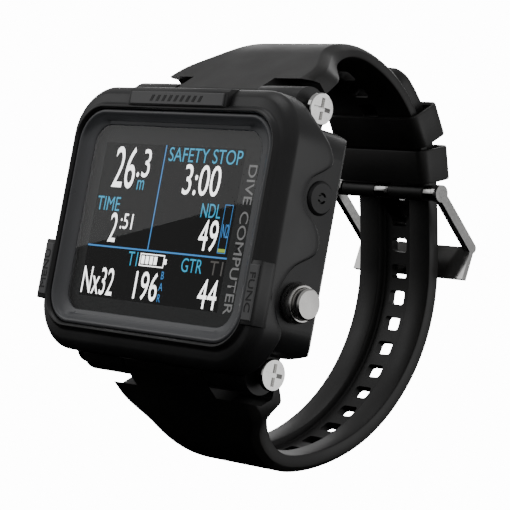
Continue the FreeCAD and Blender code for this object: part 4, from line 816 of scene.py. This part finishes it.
def slot_tool(name, centre, radius, degrees, width, length, depth):
    """A rounded slot cutter, flared at both ends, square to the strap at an angle about a centre."""
    loops = []
    for height, grow in ((-depth, 0.55), (-depth * 0.35, 0.5), (-depth * 0.22, 0.02), (depth * 0.22, 0.02),
                         (depth * 0.35, 0.5), (depth, 0.55)):
        loops.append([(x, height, z) for x, z in
                      rounded_path(width + 2 * grow, length + 2 * grow, 0.7 + grow, 4, 1, 1)])
    obj = loops_to_mesh(name, loops, body=None, caps=True)
    y, z = polar(centre, radius, degrees)
    place = Matrix.Translation(Vector((0, y, z)) * MM) @ Matrix.Rotation(math.radians(degrees), 4, "X")
    obj.data.transform(place)
    return obj


def lug_tools(side):
    """Cutters for the room beside the middle block, where the case's lugs stand."""
    start = (LUG[0] + 5.1, side * (LUG[1] + 6.5))
    stop = (LUG[0] + 8.2, LUG[1] + 3.9) if side > 0 else (LUG[0] + 7.8, -LUG[1] - 4.6)
    outline = [start, stop, (stop[0] + (4 if side > 0 else 0), side * 14), (-40, side * 14), (-40, start[1])]
    return [prism("lug_room", outline, low, high) for low, high in ((BLOCK_HALF, 40), (-40, -BLOCK_HALF))]


def finish_strap(obj, node):
    bmesh_clean(obj)
    shade(obj, 32)
    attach(obj, CASE)
    paint(obj, "strap_rubber")
    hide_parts(node)


def arc_pairs(centre, outer_radius, inner_radius, first, last, step=1.0):
    count = max(2, round(abs(last - first) * math.pi / 180 * outer_radius / step))
    pairs = []
    for k in range(count + 1):
        angle = first + (last - first) * k / count
        pairs.append((polar(centre, outer_radius, angle), polar(centre, inner_radius, angle)))
    return pairs


def hole_strap():
    """The long half with its slots, seen through the loop from inside."""
    thick, tail, wide, turn, inner_turn = 3.8, 36.15, 41.5, 22.0, 14.5
    tip, join, low = 62.0, 20.0, -84.0
    centre, radius, meeting = joining_arc(LOOP, tail, join, WRAP, wide)
    spans = [(LOOP, tail, tip, join), (centre, radius, join, meeting), (WRAP, wide, meeting, low)]
    pairs = []
    for span_centre, span_radius, first, last in spans:
        pairs += arc_pairs(span_centre, span_radius, span_radius - thick, first, last)[bool(pairs):]
    outer_centre = polar(WRAP, wide - turn, low)
    inner_centre = polar(WRAP, wide - thick - inner_turn, low)
    wrap_length = sum(math.dist(a[0], b[0]) for a, b in zip(pairs, pairs[1:]))
    run, heel, tube, normal = lug_run(outer_centre, turn, inner_centre, inner_turn, low, -1)
    pairs += run
    bevels = [(-14.0, 1.7), (8.0, 1.5), (24.0, 1.1), (40.0, 0.95)]
    obj, _ = strap_body("strap_with_slots", pairs, LOW_PLAN, bevels, (7.0, wrap_length - 4.0), tip=5.0)
    obj = cut_or_join(obj, rod("tube", -BLOCK_HALF, BLOCK_HALF, tube, STRAP_TUBE, 0.3), "UNION")
    obj = cut_or_join(obj, lug_block("block", heel, tube, normal, -1), "UNION")
    for tool in lug_tools(-1):
        obj = cut_or_join(obj, tool, "DIFFERENCE")
    obj = cut_or_join(obj, rod("pin_bore", -20, 20, tube, 1.6), "DIFFERENCE")
    for place, slot_radius, degrees in slot_stations(spans, thick):
        tool = slot_tool("slot", place, slot_radius - thick / 2 + 0.3, degrees, 4.5, 3.1, 6.0)
        obj = cut_or_join(obj, tool, "DIFFERENCE")
    finish_strap(obj, "hole_strap")


def slot_stations(spans, thick, pitch=6.0, anchor_z=8.55):
    """Evenly spaced slot places along the tail, one of them at a known height on the outside."""
    centre, radius, first, _ = spans[1]
    anchor = math.degrees(math.asin((anchor_z - centre[1]) / (radius - thick / 2)))
    runs = [abs(b - a) * math.pi / 180 * (r - thick / 2) for _, r, a, b in spans]
    at_anchor = runs[0] + (first - anchor) * math.pi / 180 * (radius - thick / 2)
    place = at_anchor % pitch
    while place < 10:
        place += pitch
    stations = []
    while place < sum(runs) - 3:
        rest = place
        for (span_centre, span_radius, start, stop), run in zip(spans, runs):
            if rest <= run:
                stations.append((span_centre, span_radius, start + (stop - start) * rest / run))
                break
            rest -= run
        place += pitch
    return stations


def buckle_strap():
    """The short half, from the lugs over the top to the buckle's pin."""
    outer, thick, turn, inner_turn, angle = 32.15, 2.6, 22.0, 15.0, 80.0
    start = math.degrees(math.atan2(PIN[1] - LOOP[1], PIN[0] - LOOP[0]))
    pairs = arc_pairs(LOOP, outer, outer - thick, start, angle)
    outer_centre = polar(LOOP, outer - turn, angle)
    inner_centre = polar(LOOP, outer - thick - inner_turn, angle)
    run, heel, tube, normal = lug_run(outer_centre, turn, inner_centre, inner_turn, angle, 1)
    pairs += run
    bevels = [(-14.0, 1.7), (8.0, 1.5), (20.0, 0.8), (40.0, 0.7)]
    obj, _ = strap_body("strap_with_buckle", pairs, TOP_PLAN, bevels)
    obj = cut_or_join(obj, rod("tube", -BLOCK_HALF, BLOCK_HALF, tube, STRAP_TUBE, 0.3), "UNION")
    obj = cut_or_join(obj, lug_block("block", heel, tube, normal, 1), "UNION")
    obj = cut_or_join(obj, rod("pin_tube", -12.6, 12.6, PIN, 1.8, 0.25), "UNION")
    for tool in lug_tools(1):
        obj = cut_or_join(obj, tool, "DIFFERENCE")
    obj = cut_or_join(obj, rod("pin_bore", -20, 20, tube, 1.6), "DIFFERENCE")
    obj = cut_or_join(obj, rod("buckle_bore", -20, 20, PIN, 0.86), "DIFFERENCE")
    obj = cut_or_join(obj, slot_tool("prong_room", PIN, 0, start, 4.6, 5.4, 9.0), "DIFFERENCE")
    step = math.degrees(6.0 / outer)
    for index in range(3):
        tool = slot_tool("slot", LOOP, outer - thick / 2, 68.7 - index * step, 4.5, 3.1, 5.0)
        obj = cut_or_join(obj, tool, "DIFFERENCE")
    finish_strap(obj, "buckle_strap")


def keeper(name, node, degrees, body):
    """A rubber loop round both layers: a rounded band with softly rounded rims."""
    inner, outer, wall, half, length = 29.2, 36.35, 1.1, 14.1, 7.6
    width, height = 2 * half, outer - inner + 2 * wall
    section = [(wall, length / 2 - 0.4), (wall - 0.4, length / 2), (0.4, length / 2), (0.1, length / 2 - 0.1),
               (0.0, length / 2 - 0.4)]
    section += [(inset, -along) for inset, along in reversed(section)]
    loops = []
    for inset, along in section:
        ring = rounded_path(width - 2 * inset, height - 2 * inset, max(2.3 - inset, 0.6), 7, 8, 4)
        loops.append([(x, (inner + outer) / 2 + radial, along) for x, radial in ring])
    obj = loops_to_mesh(name, loops, body=None, closed=True)
    place = Matrix.Translation(Vector((0, *LOOP)) * MM) @ Matrix.Rotation(math.radians(degrees), 4, "X")
    obj.data.transform(place)
    shade(obj, 40)
    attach(obj, body)
    paint(obj, "strap_rubber")
    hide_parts(node)


# ------------------------------------------------------------------ button springs
def button_spring(name, node, side):
    """A compression coil between the collar's floor and the cap."""
    floor, cap, wire, turns, steps = 32.0, 34.9, 0.22, 4.0, 28
    length = cap - floor - 2 * wire
    count = int(turns * steps)
    loops = []
    for k in range(count + 1):
        angle = 2 * math.pi * k / steps
        x = floor + wire + length * k / count
        ring = []
        for j in range(8):
            around = 2 * math.pi * j / 8
            reach = 1.75 + wire * math.cos(around)
            ring.append((side * (x + wire * math.sin(around)), BUTTON[0] + reach * math.cos(angle),
                         BUTTON[1] + reach * math.sin(angle)))
        loops.append(ring)
    obj = loops_to_mesh(name, loops, caps=True)
    shade(obj, 60)
    paint(obj, "steel_satin")
    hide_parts(node)
    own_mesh(obj)


# ------------------------------------------------------------------ stage, light and camera
EYE = Vector((361.6, -327.26, -38.05))
FORWARD = Vector((-0.7326, 0.6766, 0.0735)).normalized()
UPWARD = Vector((-0.0685, -0.1808, 0.9811))
GLASS_FACE = -20.9


def studio():
    """A pale floor, a white surround and soft lights."""
    floor_z, reach, steps = -140.0, 800.0, 64
    rings = [[(r * math.cos(2 * math.pi * k / steps), r * math.sin(2 * math.pi * k / steps), floor_z)
              for k in range(steps)] for r in (reach, reach * 0.5)]
    floor = loops_to_mesh("floor", rings, body=None)
    fill_hole(floor)
    floor.data.materials.append(moulded("floor_pale", (0.8, 0.8, 0.8), 0.8, grain=300.0, variation=0.01))
    studio_world()
    for name, place, size, watts in LIGHTS:
        soft_light(name, Vector(place), -Vector(place), (size, size), watts)
    card_light()


AMBIENT = 0.34
# Name, place, size in metres and power.
LIGHTS = [
    ("top", (-0.2, -0.25, 0.85), 0.5, 0.9),
    ("behind", (-0.45, 0.65, 0.25), 0.7, 2.2),
    ("right", (0.75, 0.4, 0.1), 0.5, 0.9),
]


def fill_hole(obj):
    mend = bmesh.new()
    mend.from_mesh(obj.data)
    bmesh.ops.holes_fill(mend, edges=[edge for edge in mend.edges if edge.is_boundary][:], sides=0)
    mend.to_mesh(obj.data)
    mend.free()


def soft_light(name, place, towards, size, watts, along=None):
    """A rectangular soft light at a place, facing a direction, its width laid along a direction."""
    light = bpy.data.lights.new(name, "AREA")
    light.shape = "RECTANGLE"
    light.size, light.size_y = size
    light.energy = watts
    lamp = bpy.data.objects.new(name, light)
    back = -towards.normalized()
    along = along or Vector((1, 0, 0)) if abs(back.x) < 0.9 else Vector((0, 1, 0))
    side = (along - along.dot(back) * back).normalized()
    up = back.cross(side)
    lamp.matrix_world = Matrix((
        (side.x, up.x, back.x, place.x),
        (side.y, up.y, back.y, place.y),
        (side.z, up.z, back.z, place.z),
        (0, 0, 0, 1),
    ))
    lamp.visible_camera = False
    bpy.context.scene.collection.objects.link(lamp)


def card_light():
    """A dim white card that the glass reflects down to a slanting line."""
    mirrored = Vector((EYE.x, 2 * GLASS_FACE - EYE.y, EYE.z))
    reach = 2.5
    ends = [mirrored + reach * (Vector(point) - mirrored) for point in
            ((-26.9, GLASS_FACE, -7.2), (25.1, GLASS_FACE, 5.8))]
    along = (ends[1] - ends[0]).normalized()
    middle = (ends[0] + ends[1]) / 2
    towards = -middle.normalized()
    towards = (towards - towards.dot(along) * along).normalized()
    upward = along.cross(towards)
    if upward.z < 0:
        upward = -upward
    width, height, radiance = 0.5, 0.4, 0.8
    centre = middle * MM + upward * height / 2
    soft_light("card", centre, towards, (width, height), radiance * math.pi * width * height, along)


def studio_world():
    """A white surround to look at, which lights the object evenly and only dimly."""
    world = bpy.data.worlds.new("studio")
    bpy.context.scene.world = world
    world.use_nodes = True
    tree = world.node_tree
    lit = tree.nodes["Background"]
    lit.inputs["Color"].default_value = (1, 1, 1, 1)
    lit.inputs["Strength"].default_value = AMBIENT
    seen = tree.nodes.new("ShaderNodeBackground")
    seen.inputs["Color"].default_value = (1, 1, 1, 1)
    seen.inputs["Strength"].default_value = 14.0
    path = tree.nodes.new("ShaderNodeLightPath")
    mix = tree.nodes.new("ShaderNodeMixShader")
    tree.links.new(path.outputs["Is Camera Ray"], mix.inputs["Fac"])
    tree.links.new(lit.outputs["Background"], mix.inputs[1])
    tree.links.new(seen.outputs["Background"], mix.inputs[2])
    tree.links.new(mix.outputs["Shader"], tree.nodes["World Output"].inputs["Surface"])


def camera():
    """The photograph's viewpoint: from the right and a little below, with a slight roll."""
    data = bpy.data.cameras.new("camera")
    data.sensor_width = 36.0
    data.lens = 161.78
    data.clip_start = 0.01
    data.clip_end = 20.0
    eye = bpy.data.objects.new("camera", data)
    right = FORWARD.cross(UPWARD).normalized()
    up = right.cross(FORWARD)
    eye.matrix_world = Matrix((
        (right.x, up.x, -FORWARD.x, EYE.x * MM),
        (right.y, up.y, -FORWARD.y, EYE.y * MM),
        (right.z, up.z, -FORWARD.z, EYE.z * MM),
        (0, 0, 0, 1),
    ))
    bpy.context.scene.collection.objects.link(eye)
    bpy.context.scene.camera = eye


# ------------------------------------------------------------------ build
paint_frame()
for node_name, radius in (("rear_case", 0.35), ("back_cover", 0.25),
                          ("buckle_frame", 0.3), ("buckle_prong", 0.25), ("function_button_collar", 0.12),
                          ("menu_button_collar", 0.12), ("sensor_port_cap", 0.12)):
    soften(node_name, radius)
bumper()
tab_pads()
bezel()
glass_border()
display()
printed_words()
hole_strap()
buckle_strap()
keeper("strap_keeper_fixed", "fixed_keeper", 21.6, CASE)
keeper("strap_keeper_sliding", "sliding_keeper", 37.6, "loose_keeper")
button_spring("spring_function", "function_button_spring", 1)
button_spring("spring_menu", "menu_button_spring", -1)
studio()
camera()
